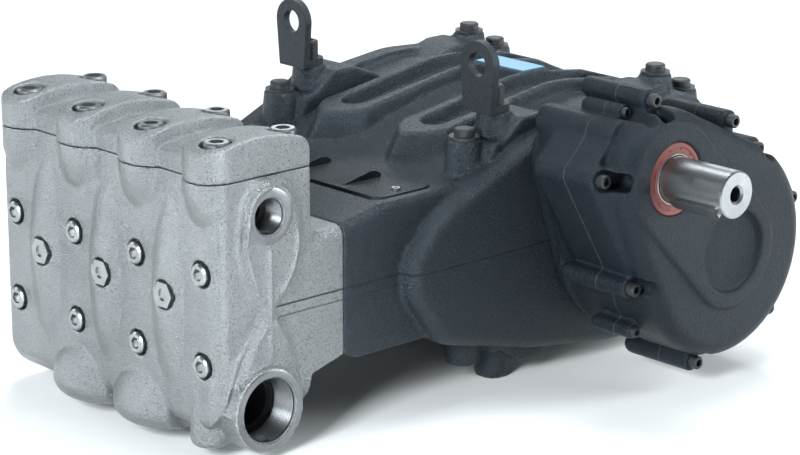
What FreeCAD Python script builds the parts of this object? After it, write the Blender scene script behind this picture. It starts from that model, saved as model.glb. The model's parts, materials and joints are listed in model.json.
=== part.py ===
import FreeCAD, Part
import Sketcher
import math
import os
from FreeCAD import Placement, Rotation, Vector

# Triplex plunger pump with a side gearbox.
# X runs along the crankshaft, +X on the gearbox side.
# Y runs from the fluid end at the front (-Y) to the rear of the crankcase.
# Z is up. The origin is the centre of the four feet, on the floor.

os.makedirs("parts", exist_ok=True)
doc = FreeCAD.newDocument("PlungerPump")

# Driving dimensions, in millimetres and degrees.

SIZES = [
    ("plunger_pitch", 115.0, "spacing of the three plungers along X"),
    ("crank_height", 172.0, "crankshaft and plunger axes above the floor"),
    ("crank_setback", 27.0, "crankshaft axis behind the centre of the feet"),
    ("fit_gap", 0.3, "gap left between curved faces of neighbouring pieces"),
    ("head_width", 402.0, "fluid end along X"),
    ("head_reach", 592.0, "front face of the fluid end in front of the feet centre"),
    ("head_depth", 135.0, "fluid end along Y"),
    ("head_rise", 152.0, "joint of the valve cover above the plunger axes"),
    ("head_drop", 135.0, "underside of the fluid end below the plunger axes"),
    ("head_lean", 8.0, "how far the front face leans back at the cover joint"),
    ("head_lean_start", 68.0, "height above the plunger axes where it starts to lean"),
    ("head_corner", 45.0, "radius of the lower corners of the fluid end"),
    ("head_edge", 16.0, "radius of the upright edges of the fluid end"),
    ("lobe_half", 36.0, "half width of a column lobe"),
    ("lobe_stand", 18.0, "how far a column lobe stands in front of the face"),
    ("lobe_fade", 60.0, "height over which a column lobe fades out"),
    ("lobe_corner", 32.0, "radius of the outer lobes towards the sides of the fluid end"),
    ("bulge_half", 28.5, "half width of a plunger bulge"),
    ("bulge_stand", 10.0, "how far a plunger bulge stands in front of the face"),
    ("bulge_top", 101.0, "top of a plunger bulge above the plunger axes"),
    ("bulge_bottom", 92.0, "bottom of a plunger bulge below the plunger axes"),
    ("toe_top", 89.0, "top of a lower lobe below the plunger axes"),
    ("toe_bottom", 155.0, "bottom of a lower lobe below the plunger axes"),
    ("toe_half", 50.0, "half width of a lower lobe in the front face"),
    ("toe_stand", 20.0, "how far a lower lobe stands in front of the face"),
    ("toe_swell", 0.32, "height of its widest part as a share of its height"),
    ("toe_fullness", 0.72, "how full its rounding is, as a share of its stand"),
    ("nub_diameter", 46.0, "short round boss under the column on the gearbox side"),
    ("nub_drop", 22.0, "how far that boss stands below the fluid end"),
    ("nub_offset", 158.0, "its axis from the middle"),
    ("nub_setback", 22.0, "its axis behind the front face"),
    ("cover_valley", 21.0, "valve cover height between the ridges at the front"),
    ("cover_valley_middle", 28.0, "valve cover height between the ridges at the middle"),
    ("cover_end", 33.0, "valve cover height at the ends of a ridge"),
    ("cover_crown", 50.0, "valve cover height at the middle of a ridge"),
    ("cover_round", 18.0, "radius of the ends of the ridges"),
    ("ridge_round", 14.0, "radius along the tops of the ridges"),
    ("cover_screw_front", 26.0, "front row of cover screws behind the front face"),
    ("cover_screw_rear", 120.0, "rear row of cover screws behind the front face"),
    ("cover_screw_head", 30.0, "head diameter of a cover screw"),
    ("cover_screw_height", 13.0, "head height of a cover screw"),
    ("cover_seat", 28.0, "seat of the cover screws above the cover joint"),
    ("cover_seat_diameter", 38.0, "spot face of a cover screw"),
    ("front_screw_rise", 48.0, "upper front screws above the plunger axes"),
    ("front_screw_drop", 57.5, "lower front screws below the plunger axes"),
    ("front_screw_head", 25.0, "head diameter of a front screw"),
    ("front_screw_height", 16.0, "head height of a front screw"),
    ("front_screw_proud", 4.0, "how far a front screw stands out of the face"),
    ("front_bore", 31.0, "counterbore of a front screw"),
    ("hex_plug_flats", 28.0, "hexagon of a plunger bulge plug across flats"),
    ("hex_plug_rise", 13.5, "plug axis above the plunger axes"),
    ("hex_plug_proud", 9.0, "plug hexagon in front of the front face"),
    ("hex_plug_height", 12.0, "height of the plug hexagon"),
    ("hex_plug_bore", 35.0, "counterbore round a plug"),
    ("outlet_rise", 107.0, "outlet axis above the plunger axes"),
    ("outlet_setback", 71.0, "outlet axis behind the front face"),
    ("outlet_bore", 40.6, "bore of the outlet thread"),
    ("outlet_face", 68.0, "machined face round the outlet"),
    ("outlet_stand", 6.0, "outlet face beyond the side of the fluid end"),
    ("outlet_length", 36.0, "length of the outlet thread"),
    ("inlet_drop", 113.5, "inlet axis below the plunger axes"),
    ("inlet_setback", 63.0, "inlet axis behind the front face"),
    ("inlet_bore", 73.6, "bore of the inlet thread"),
    ("inlet_boss", 98.0, "boss round the inlet"),
    ("inlet_stand", 12.0, "inlet face beyond the side of the fluid end"),
    ("inlet_length", 40.0, "length of the inlet thread"),
    ("groove_width", 6.0, "runout groove at the end of the inlet thread"),
    ("groove_depth", 2.0, "depth of that groove"),
    ("gallery_depth", 60.0, "plain passage behind each thread"),
    ("passage_share", 0.8, "passage bore as a share of the thread bore"),
    ("rib_stand", 3.0, "first step of the side pad"),
    ("rib_step", 7.0, "width of that step"),
    ("rib_stand_inner", 5.5, "second step of the side pad"),
    ("pad_half", 42.0, "half width of the side pad at the outlet"),
    ("pad_waist", 13.0, "width of the side pad at its waist"),
    ("pad_fullness", 0.62, "how full its curves are, as a share of their width"),
    ("spacer_depth", 48.0, "silver flange behind the fluid end along Y"),
    ("spacer_rise", 74.0, "top of that flange"),
    ("spacer_fillet", 14.0, "fillet between the top of the flange and the fluid end"),
    ("spacer_drop", 91.0, "underside of that flange at the fluid end"),
    ("spacer_drop_rear", 78.0, "underside of that flange at the crankcase"),
    ("case_width", 402.0, "narrow front of the crankcase along X"),
    ("case_drop", 87.0, "underside of the narrow front below the crank axis"),
    ("case_rise", 88.0, "top of the narrow front at the hatch"),
    ("body_width", 444.0, "wide body of the crankcase along X"),
    ("body_front", 322.0, "front of the drum sides ahead of the feet centre"),
    ("body_rear", 218.0, "rear of the crankcase behind the feet centre"),
    ("body_drop", 133.0, "underside of the drum sides near the front feet below the crank axis"),
    ("sump_drop", 156.0, "lowest part of the drum sides below the crank axis"),
    ("deck_rise", 138.0, "top of the drum sides behind the crank axis, above it"),
    ("deck_front_rise", 129.0, "top of the drum sides near the inner bolts above the crank axis"),
    ("drum_inner", 186.0, "inner face of the drum sides from the middle"),
    ("floor_rise", 138.0, "valleys of the crankcase top above the crank axis"),
    ("floor_drop", 130.0, "underside between the drum sides below the crank axis"),
    ("hump_rise", 157.0, "crown of the two ridges above the crank axis"),
    ("hump_front", 252.0, "rear edge of the access cover recess ahead of the feet centre"),
    ("band_offset", 72.0, "axis of each ridge from the middle"),
    ("band_half", 39.0, "half width of a ridge at its top"),
    ("band_width", 19.0, "width of the flat band round the groove of a ridge"),
    ("band_reach", 202.0, "tip of a ridge ahead of the feet centre"),
    ("ridge_draft", 0.22, "slope of the ridge sides"),
    ("ridge_nose_draft", 0.6, "slope of the ridge noses"),
    ("ridge_prow", 0.85, "how pointed the noses are at their foot, between 0 and 1"),
    ("groove_sunk", 20.0, "depth of the groove in a ridge"),
    ("shoulder_inner", 136.0, "inner face of the bolt shoulders from the middle"),
    ("shoulder_outer", 200.0, "outer face of the bolt shoulders from the middle"),
    ("boss_x", 167.0, "case bolt axes from the middle"),
    ("boss_inner", 141.0, "inner case bolts from the feet centre"),
    ("boss_outer", 189.0, "outer case bolts from the feet centre"),
    ("boss_inner_rise", 158.0, "top of an inner boss above the crank axis"),
    ("boss_outer_rise", 131.0, "top of an outer boss above the crank axis"),
    ("boss_outer_drop", 146.0, "bottom of an outer lower boss below the crank axis"),
    ("boss_tip", 40.0, "boss diameter at its face"),
    ("boss_root", 54.0, "boss diameter at its root"),
    ("boss_length", 60.0, "length of the tapered bosses"),
    ("foot_hole", 17.5, "tapped hole in each foot"),
    ("foot_hole_depth", 32.0, "depth of that hole"),
    ("washer_diameter", 37.0, "washer under a case bolt"),
    ("washer_height", 3.0, "thickness of that washer"),
    ("bolt_head", 25.0, "head diameter of a case bolt"),
    ("bolt_height", 9.0, "head height of a plain case bolt"),
    ("eye_setback", 164.5, "lifting eye plate ahead of the feet centre"),
    ("eye_rise", 216.0, "centre of the lifting eye above the crank axis"),
    ("eye_bore", 29.0, "hole of a lifting eye"),
    ("eye_width", 56.0, "width of a lifting eye plate"),
    ("eye_root", 46.0, "width of that plate at its foot"),
    ("eye_thickness", 10.0, "thickness of a lifting eye plate"),
    ("eye_foot", 8.0, "thickness of the foot of a lifting eye"),
    ("eye_screw_head", 24.0, "head diameter of an eye screw"),
    ("eye_screw_height", 22.0, "head height of an eye screw"),
    ("hatch_width", 368.0, "access cover along X"),
    ("hatch_length", 84.0, "access cover along Y"),
    ("hatch_front", 340.0, "front edge of the access cover ahead of the feet centre"),
    ("hatch_thickness", 8.0, "thickness of the access cover"),
    ("hatch_gap", 3.0, "gap round the access cover"),
    ("hatch_corner", 16.0, "corner radius of the access cover"),
    ("hatch_screw", 11.0, "head diameter of an access cover screw"),
    ("hatch_screw_inset", 15.0, "access cover screws from its ends"),
    ("hatch_screw_setback", 40.0, "access cover screws behind its front edge"),
    ("grip_length", 60.0, "wedge grip of the access cover along Y"),
    ("grip_width", 26.0, "wedge grip along X"),
    ("grip_inset", 8.0, "front tips of the wedge grips from the front edge of the access cover"),
    ("grip_inner", 25.0, "upright sides of the inner wedge grips from the middle"),
    ("grip_outer", 113.0, "upright sides of the outer wedge grips from the middle"),
    ("label_width", 84.0, "blue plate along X"),
    ("label_length", 38.0, "blue plate along Y"),
    ("label_thickness", 1.2, "thickness of the blue plate"),
    ("label_sunk", 2.0, "seat of the blue plate below the crown"),
    ("label_setback", 52.0, "centre of the blue plate behind the feet centre"),
    ("shaft_lead", 78.0, "input shaft axis ahead of the feet centre"),
    ("shaft_rise", 106.5, "input shaft axis above the crank axis"),
    ("shaft_diameter", 55.0, "input shaft"),
    ("shaft_end", 492.0, "end of the input shaft along X"),
    ("shaft_chamfer", 1.6, "chamfer of the shaft end"),
    ("shaft_fit", 0.05, "radial running clearance of the input shaft"),
    ("shaft_inside", 70.0, "length of the shaft behind the cover face"),
    ("centre_hole", 17.5, "tapped centre hole of the shaft end"),
    ("centre_hole_depth", 40.0, "depth of the centre hole"),
    ("centre_sink", 23.0, "countersink of the centre hole"),
    ("key_width", 16.0, "shaft key across"),
    ("key_height", 10.0, "shaft key height"),
    ("key_proud", 4.3, "key above the shaft surface"),
    ("key_length", 72.0, "shaft key along X"),
    ("key_inset", 6.0, "key end from the shaft end"),
    ("key_turn", 222.0, "angle of the key about the shaft, from +Y towards +Z"),
    ("seal_diameter", 86.0, "shaft seal ring outside"),
    ("seal_depth", 12.0, "shaft seal ring thickness"),
    ("seal_fit", 0.1, "radial gap between the seal ring and its seat"),
    ("seal_inset", 2.0, "seal face behind the cover face"),
    ("gear_seam", 320.0, "joint of the gear housing and its cover along X"),
    ("gear_face", 398.0, "face of the gear cover along X"),
    ("pad_face", 402.0, "raised pad of the gear cover along X"),
    ("gear_radius", 131.0, "gear cover round the crank axis"),
    ("pinion_radius", 66.0, "gearbox round the shaft axis"),
    ("lip_radius", 80.0, "gear cover round the shaft axis at its widest"),
    ("lip_back", 364.0, "where the gear cover is widest along X"),
    ("neck_gear_radius", 121.0, "neck of the gearbox round the crank axis"),
    ("neck_pinion_radius", 56.0, "neck of the gearbox round the shaft axis"),
    ("neck_end", 240.0, "end of that neck along X"),
    ("bead_radius", 4.0, "rounded bead at the back edge of the gear housing"),
    ("gear_round", 20.0, "rounding of the cover face"),
    ("pad_gear_radius", 70.0, "raised pad round the crank axis"),
    ("pad_pinion_radius", 68.0, "raised pad round the shaft axis"),
    ("dish_radius", 50.0, "round depression in the cover"),
    ("dish_depth", 6.0, "depth of that depression"),
    ("gear_screw_offset", 11.0, "cover screws outside the round gear cover"),
    ("pinion_screw_offset", 9.0, "cover screws outside the gear cover round the shaft axis"),
    ("top_screw_offset", 19.0, "uppermost screw of the round cover outside it"),
    ("high_screw_offset", -2.0, "its neighbour towards the rear outside the round cover"),
    ("gear_web", 20.0, "width of the web that carries a screw boss"),
    ("gear_screw_head", 16.0, "head diameter of a cover screw of the gearbox"),
    ("gear_screw_height", 10.0, "head height of that screw"),
    ("gear_boss", 25.0, "screw boss of the gear cover"),
    ("gear_boss_back", 272.0, "back end of the screw bosses along X"),
    ("side_boss_back", 304.0, "back end of the boss of the side screw along X"),
    ("gear_slot", 7.0, "length of the pocket beside a screw of the round cover"),
    ("pinion_slot", 32.0, "length of the pocket beside a screw near the shaft axis"),
    ("cheek_margin", 3.0, "cheek of the gearbox round the boss of its side screw"),
    ("cheek_run", 40.0, "taper of that cheek towards the crankcase"),
    ("cheek_back", 276.0, "where that taper starts along X"),
    ("cheek_nose", 30.0, "taper of that cheek towards the cover face"),
    ("cheek_end", 392.0, "end of that cheek along X"),
    ("cheek_inset", 3.0, "cheek inside the round of the gearbox"),
    ("gear_boss_end", 366.0, "end of the screw bosses along X"),
    ("plug_boss", 40.0, "large plain boss of the gearbox"),
    ("plug_boss_circle", 70.0, "its axis from the shaft axis"),
    ("plug_boss_end", 362.0, "outer end of that boss along X"),
    ("plug_boss_turn", 134.0, "its angle about the shaft axis, from +Y towards +Z"),
    ("small_boss", 18.0, "boss of a small screw of the gearbox"),
    ("small_boss_circle", 80.0, "axis of the small boss from the shaft axis"),
    ("small_boss_turn", 112.0, "angle of the small boss about the shaft axis"),
    ("small_boss_end", 346.0, "outer end of the small bosses along X"),
    ("small_screw_head", 12.5, "head diameter of a small screw of the gearbox"),
    ("small_screw_height", 6.0, "head height of a small screw of the gearbox"),
    ("small_web", 14.0, "width of the web of a small boss"),
    ("bearing_cover", 200.0, "round cover on the side away from the gearbox"),
    ("bearing_cover_stand", 14.0, "its thickness"),
    ("bearing_screw_circle", 172.0, "its screw circle"),
    ("bearing_screw_head", 16.0, "head diameter of its screws"),
    ("bearing_screw_height", 10.0, "head height of its screws"),
    ("screw_bevel", 0.07, "bevel of a screw head as a share of its diameter"),
    ("socket_width", 0.6, "hexagon socket across corners as a share of the head"),
    ("socket_depth", 0.5, "depth of a socket as a share of the head height"),
    ("head_lean_round", 40.0, "radius where the front face starts to lean back"),
    ("nub_round", 8.0, "radius at the foot of the short round bosses"),
    ("pad_setback", 77.0, "middle of the side pad behind the front face"),
    ("pad_margin", 4.0, "side pad past the port bosses and below the cover joint"),
    ("hex_plug_collar", 3.0, "round collar under the plug hexagon"),
    ("valley_round", 8.0, "radius at the front and rear edges between the ridges"),
    ("crown_radius", 200.0, "radius of the crown of the valve cover along Y"),
    ("ridge_draft_width", 7.0, "how much narrower a ridge is at its crown, each side"),
    ("case_edge", 12.0, "radius of the upper side edges of the narrow front"),
    ("case_step", 18.0, "step of the underside behind the flange"),
    ("case_bend", 60.0, "radius of the bend of the top behind the flange"),
    ("narrow_overlap", 90.0, "how far the narrow front runs into the drum"),
    ("drum_nose_low", 28.0, "front of the drum sides below the crank axis"),
    ("drum_nose_high", 18.0, "front of the drum sides above the crank axis"),
    ("drum_nose_run", 47.0, "slope of the drum front along Y"),
    ("drum_nose_top", 63.0, "top of that slope above the crank axis"),
    ("drum_round", 50.0, "radius of the corners of the drum sides"),
    ("drum_step", 16.0, "front end of the drum top ahead of the inner bolts"),
    ("drum_crown", 9.0, "rise of the drum top at the crank axis"),
    ("drum_edge", 16.0, "radius of the outer edges of the drum sides"),
    ("floor_fall", 10.0, "fall of the valleys in front of and behind the crank axis"),
    ("floor_step", 23.0, "rise of the valleys behind the access cover"),
    ("shoulder_toe", 4.0, "foot of the bolt shoulders past the outer bolts"),
    ("shoulder_step", 16.0, "run of the steps of the bolt shoulders"),
    ("shoulder_rise", 127.0, "bolt shoulders at the outer bolts above the crank axis"),
    ("shoulder_crest", 152.0, "bolt shoulders at the inner bolts above the crank axis"),
    ("shoulder_fade", 134.0, "inner end of the bolt shoulders above the crank axis"),
    ("shoulder_drop", 132.0, "lower shoulders at the outer bolts below the crank axis"),
    ("shoulder_base", 70.0, "root of the shoulders and ridges inside the case"),
    ("shoulder_edge", 5.0, "radius of the inner edges of the bolt shoulders"),
    ("ridge_fall", 30.0, "fall of a ridge from its crown to its tip"),
    ("ridge_edge", 6.0, "radius of the edges of the ridges"),
    ("label_margin", 3.0, "seat of the blue plate past its edges"),
    ("spot_margin", 2.0, "spot face past a washer"),
    ("hatch_proud", 1.0, "access cover above the top of the narrow front"),
    ("hatch_screw_height", 3.0, "head height of an access cover screw"),
    ("grip_height", 10.0, "height of a wedge grip above the access cover"),
    ("slot_wall", 2.0, "side pocket of a cover screw narrower than its boss, each side"),
    ("slot_floor", 394.0, "outer end of the side pockets along X"),
    ("shaft_end_play", 2.0, "room behind the inner end of the shaft"),
    ("bearing_rim", 4.0, "radius of the rim of the bearing cover"),
]

sheet = doc.addObject("Spreadsheet::Sheet", "Sizes")
for row, (alias, number, note) in enumerate(SIZES, start=1):
    sheet.set(f"A{row}", alias)
    sheet.set(f"B{row}", repr(number))
    sheet.set(f"C{row}", note)
    sheet.setAlias(f"B{row}", alias)
doc.recompute()


class Values:
    pass


s = Values()
for alias, number, note in SIZES:
    setattr(s, alias, float(sheet.get(alias)))

pieces = {}


# Building blocks with sizes bound to the sheet.


def register(label, obj):
    obj.Label = label
    pieces[label] = obj
    return obj


def primitive(kind, name, at, turn=None, **sizes):
    # at holds three expressions; the other arguments are expressions by property.
    obj = doc.addObject(kind, name)
    if turn is not None:
        obj.Placement = Placement(Vector(), turn)
    for axis, text in zip("xyz", at):
        obj.setExpression(f"Placement.Base.{axis}", text)
    for name_of_size, text in sizes.items():
        obj.setExpression(name_of_size, text)
    return obj


def cut_from(name, base, tools):
    obj = doc.addObject("Part::Cut", name)
    if len(tools) > 1:
        group = doc.addObject("Part::MultiFuse", f"{name}_tools")
        group.Shapes = tools
        obj.Tool = group
    else:
        obj.Tool = tools[0]
    obj.Base = base
    return obj


def fused(name, shapes):
    obj = doc.addObject("Part::MultiFuse", name)
    obj.Shapes = shapes
    obj.Refine = True
    return obj


def together(label, shapes):
    obj = doc.addObject("Part::Compound", label)
    obj.Links = shapes
    return register(label, obj)


def feature(label, shape):
    obj = doc.addObject("Part::Feature", label)
    obj.Shape = shape
    obj.Placement = Placement()
    return obj


UP = ("z", 1, Rotation())
TOWARDS_FRONT = ("y", -1, Rotation(Vector(1, 0, 0), 90))
TOWARDS_RIGHT = ("x", 1, Rotation(Vector(0, 1, 0), 90))
TOWARDS_LEFT = ("x", -1, Rotation(Vector(0, 1, 0), -90))


def moved(at, direction, distance):
    axis, sign, turn = direction
    result = list(at)
    i = "xyz".index(axis)
    result[i] = f"({at[i]}) {'+' if sign > 0 else '-'} ({distance})"
    return tuple(result)


def socket_screw(name, at, direction, head, height):
    # Cap screw on its seat: a round head with a bevelled rim and a hexagon socket.
    turn = direction[2]
    bevel = f"{head} * Sizes.screw_bevel"
    low = primitive("Part::Cylinder", f"{name}_head", at, turn,
                    Radius=f"{head} / 2", Height=f"{height} - {bevel}")
    rim = primitive("Part::Cone", f"{name}_rim", moved(at, direction, f"{height} - {bevel}"), turn,
                    Radius1=f"{head} / 2", Radius2=f"{head} / 2 - {bevel}", Height=bevel)
    depth = f"{height} * Sizes.socket_depth"
    socket = primitive("Part::Prism", f"{name}_socket", moved(at, direction, f"{height} - {depth}"), turn,
                       Circumradius=f"{head} * Sizes.socket_width / 2", Height=depth)
    return cut_from(name, fused(f"{name}_round", [low, rim]), [socket])


def hole(name, at, direction, radius, depth):
    # A drilled hole that starts at its mouth and runs against the direction.
    base = moved(at, direction, f"-({depth})")
    return primitive("Part::Cylinder", name, base, direction[2], Radius=radius, Height=depth)


# Building blocks for the castings.


def box_between(low, high):
    low = Vector(*low)
    high = Vector(*high)
    span = high - low
    return Part.makeBox(span.x, span.y, span.z, low)


def rounded_wire(points, plane):
    # Each point is (a, b, radius); plane turns (a, b) into a vector.
    count = len(points)
    places = [Vector(point[0], point[1], 0) for point in points]
    radii = [point[2] if len(point) > 2 else 0 for point in points]
    following = places[1:] + places[:1]
    halves = [(places[i - 1] - places[i]).getAngle(following[i] - places[i]) / 2 for i in range(count)]
    cuts = [radii[i] / math.tan(halves[i]) for i in range(count)]
    shares = [(following[i] - places[i]).Length / max(cuts[i] + cuts[(i + 1) % count], 1e-9)
              for i in range(count)]
    corners = []
    for i in range(count):
        here = places[i]
        # Two roundings that meet on a short edge share it.
        limit = min(1, shares[i] * 0.99, shares[i - 1] * 0.99)
        radius = radii[i] * limit
        if radius == 0:
            corners.append((here, None, here))
            continue
        to_before = (places[i - 1] - here).normalize()
        to_after = (following[i] - here).normalize()
        middle = (to_before + to_after).normalize()
        tip = here + middle * (radius / math.sin(halves[i]) - radius)
        cut = cuts[i] * limit
        corners.append((here + to_before * cut, tip, here + to_after * cut))
    edges = []
    for i in range(count):
        start, tip, end = corners[i]
        if tip is not None:
            points = [plane(point.x, point.y) for point in (start, tip, end)]
            edges.append(Part.Arc(*points).toShape())
        after = corners[(i + 1) % count][0]
        if (end - after).Length > 1e-6:
            edges.append(Part.LineSegment(plane(end.x, end.y), plane(after.x, after.y)).toShape())
    return Part.Wire(edges)


def slab_x(points, low, high):
    wire = rounded_wire(points, lambda y, z: Vector(low, y, z))
    return Part.Face(wire).extrude(Vector(high - low, 0, 0))


def slab_y(points, low, high):
    wire = rounded_wire(points, lambda x, z: Vector(x, low, z))
    return Part.Face(wire).extrude(Vector(0, high - low, 0))


def slab_z(points, low, high):
    wire = rounded_wire(points, lambda x, y: Vector(x, y, low))
    return Part.Face(wire).extrude(Vector(0, 0, high - low))


def cylinder_x(radius, low, high, y, z):
    return Part.makeCylinder(radius, high - low, Vector(low, y, z), Vector(1, 0, 0))


def cylinder_z(radius, low, high, x, y):
    return Part.makeCylinder(radius, high - low, Vector(x, y, low), Vector(0, 0, 1))


def swell(x, face_y, middle_z, half_width, half_height, stand):
    # Part of a torus that stands in front of an upright face, as an oval in front view.
    across = (half_width ** 2 + stand ** 2) / (2 * stand)
    upright = (half_height ** 2 + stand ** 2) / (2 * stand)
    centre = Vector(x, face_y - stand + upright, middle_z)
    ring = Part.makeTorus(upright - across, across, centre, Vector(1, 0, 0))
    # Where the face leans back, the swell runs on past its outline.
    width = half_width + stand
    height = half_height + 3 * stand
    return ring.common(box_between((x - width, face_y - stand - 1, middle_z - height),
                                   (x + width, face_y + stand, middle_z + height)))


def edges_at(shape, test):
    return [e for e in shape.Edges if test(e.CenterOfMass)]


axis_z = s.crank_height
crank_y = s.crank_setback
columns = [s.plunger_pitch * (i - 1.5) for i in range(4)]
column_x = [f"Sizes.plunger_pitch * ({i - 1.5})" for i in range(4)]
plungers = [s.plunger_pitch * (i - 1) for i in range(3)]
plunger_x = [f"Sizes.plunger_pitch * ({i - 1})" for i in range(3)]
front = -s.head_reach
head_back = front + s.head_depth
joint = axis_z + s.head_rise
head_low = axis_z - s.head_drop
half_head = s.head_width / 2
AXIS_Z = "Sizes.crank_height"
FRONT = "-Sizes.head_reach"
JOINT = "Sizes.crank_height + Sizes.head_rise"

# Fluid end.

lean_z = axis_z + s.head_lean_start
head_top_front = front + s.head_lean
block = slab_x(
    [
        (front, head_low, s.head_edge),
        (head_back, head_low, s.head_edge),
        (head_back, joint),
        (head_top_front, joint),
        (front, lean_z, s.head_lean_round),
    ],
    -half_head,
    half_head,
)
corners = slab_y(
    [
        (-half_head, head_low, s.head_corner),
        (half_head, head_low, s.head_corner),
        (half_head, joint),
        (-half_head, joint),
    ],
    front - 1,
    head_back + 1,
)


def head_outline(top_front):
    return [
        (-half_head, top_front, s.head_edge),
        (half_head, top_front, s.head_edge),
        (half_head, head_back),
        (-half_head, head_back),
    ]


footprint = slab_z(head_outline(front), head_low - 1, joint + 1)
block = block.common(corners).common(footprint)

lobe_front = head_top_front - s.lobe_stand
lobe_outline = slab_z(
    [
        (-half_head, lobe_front, s.lobe_corner),
        (half_head, lobe_front, s.lobe_corner),
        (half_head, head_back),
        (-half_head, head_back),
    ],
    head_low,
    joint + 2 * s.cover_crown,
)
additions = []
for x in columns:
    lobe = swell(x, head_top_front, joint, s.lobe_half, s.lobe_fade, s.lobe_stand)
    additions.append(lobe.common(lobe_outline))
for x in plungers:
    bulge_middle = axis_z + (s.bulge_top - s.bulge_bottom) / 2
    bulge_reach = (s.bulge_top + s.bulge_bottom) / 2
    additions.append(swell(x, front, bulge_middle, s.bulge_half, bulge_reach, s.bulge_stand))
toe_low = axis_z - s.toe_bottom
toe_high = axis_z - s.toe_top
toe_middle = toe_low + (toe_high - toe_low) * s.toe_swell
toe_radius = (s.toe_half ** 2 + s.toe_stand ** 2) / (2 * s.toe_stand)
toe_root = toe_radius - s.toe_stand
toe_bow = toe_root + s.toe_stand * s.toe_fullness
toe_profile = [
    Part.LineSegment(Vector(0, 0, toe_low), Vector(toe_root, 0, toe_low)).toShape(),
    Part.Arc(Vector(toe_root, 0, toe_low), Vector(toe_bow, 0, (toe_low * 2 + toe_middle) / 3),
             Vector(toe_radius, 0, toe_middle)).toShape(),
    Part.Arc(Vector(toe_radius, 0, toe_middle), Vector(toe_bow, 0, (toe_middle + toe_high) / 2),
             Vector(toe_root, 0, toe_high)).toShape(),
    Part.LineSegment(Vector(toe_root, 0, toe_high), Vector(0, 0, toe_high)).toShape(),
    Part.LineSegment(Vector(0, 0, toe_high), Vector(0, 0, toe_low)).toShape(),
]
toe_shape = Part.Face(Part.Wire(toe_profile)).revolve(Vector(0, 0, 0), Vector(0, 0, 1), 360)
for x in columns[1:3]:
    toe = toe_shape.copy()
    toe.translate(Vector(x, front + toe_root, 0))
    zone = cylinder_z(s.toe_half, toe_low - 1, toe_high + 1, x, front + s.toe_stand / 2)
    additions.append(toe.common(zone))
nub_low = head_low - s.nub_drop
nub = cylinder_z(s.nub_diameter / 2, nub_low, head_low + s.head_corner, s.nub_offset, front + s.nub_setback)
additions.append(nub.makeFillet(s.nub_round, edges_at(nub, lambda c: abs(c.z - nub_low) < 1e-3)))

outlet_y = front + s.outlet_setback
outlet_z = axis_z + s.outlet_rise
inlet_y = front + s.inlet_setback
inlet_z = axis_z - s.inlet_drop
outlet_end = half_head + s.outlet_stand
inlet_end = half_head + s.inlet_stand
additions.append(cylinder_x(s.inlet_boss / 2, -inlet_end, inlet_end, inlet_y, inlet_z))
additions.append(cylinder_x(s.outlet_face / 2, -outlet_end, outlet_end, outlet_y, outlet_z))


def pad_edges(x, inset):
    # Outline of the side pad: a lens round the outlet, a waist, a flare to the inlet.
    lens = s.pad_half - inset
    lens_y = front + s.pad_setback
    top = joint - s.pad_margin - inset
    boss = s.inlet_boss / 2 + s.pad_margin - inset
    waist = s.pad_waist / 2 - inset / 3
    waist_y = (lens_y + inlet_y) / 2
    shoulder = lens * s.pad_fullness
    bow = waist + (boss - waist) * s.pad_fullness

    def at(y, z):
        return Vector(x, y, z)

    left = at(waist_y - waist, axis_z)
    right = at(waist_y + waist, axis_z)
    top_left = at(lens_y - shoulder, top - s.pad_margin * 2)
    top_right = at(lens_y + shoulder, top - s.pad_margin * 2)
    low_left = at(inlet_y - boss, inlet_z)
    low_right = at(inlet_y + boss, inlet_z)
    lens_z = (axis_z + top) / 2
    flare_z = (axis_z + inlet_z) / 2
    return [
        Part.Arc(left, at(lens_y - lens, lens_z), top_left).toShape(),
        Part.Arc(top_left, at(lens_y, top), top_right).toShape(),
        Part.Arc(top_right, at(lens_y + lens, lens_z), right).toShape(),
        Part.Arc(right, at(waist_y + bow, flare_z), low_right).toShape(),
        Part.LineSegment(low_right, low_left).toShape(),
        Part.Arc(low_left, at(waist_y - bow, flare_z), left).toShape(),
    ]


pad_root = s.head_edge / 2
for side in (-1, 1):
    for stand, inset in ((s.rib_stand, 0), (s.rib_stand_inner, s.rib_step)):
        outline = Part.Face(Part.Wire(pad_edges(side * (half_head - pad_root), inset)))
        additions.append(outline.extrude(Vector(side * (stand + pad_root), 0, 0)))
head = block.multiFuse(additions)
head = head.common(box_between((-2 * half_head, front - 2 * s.lobe_stand, 0),
                               (2 * half_head, head_back, joint)))
head_casting = feature("fluid_end_casting", head)

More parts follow.
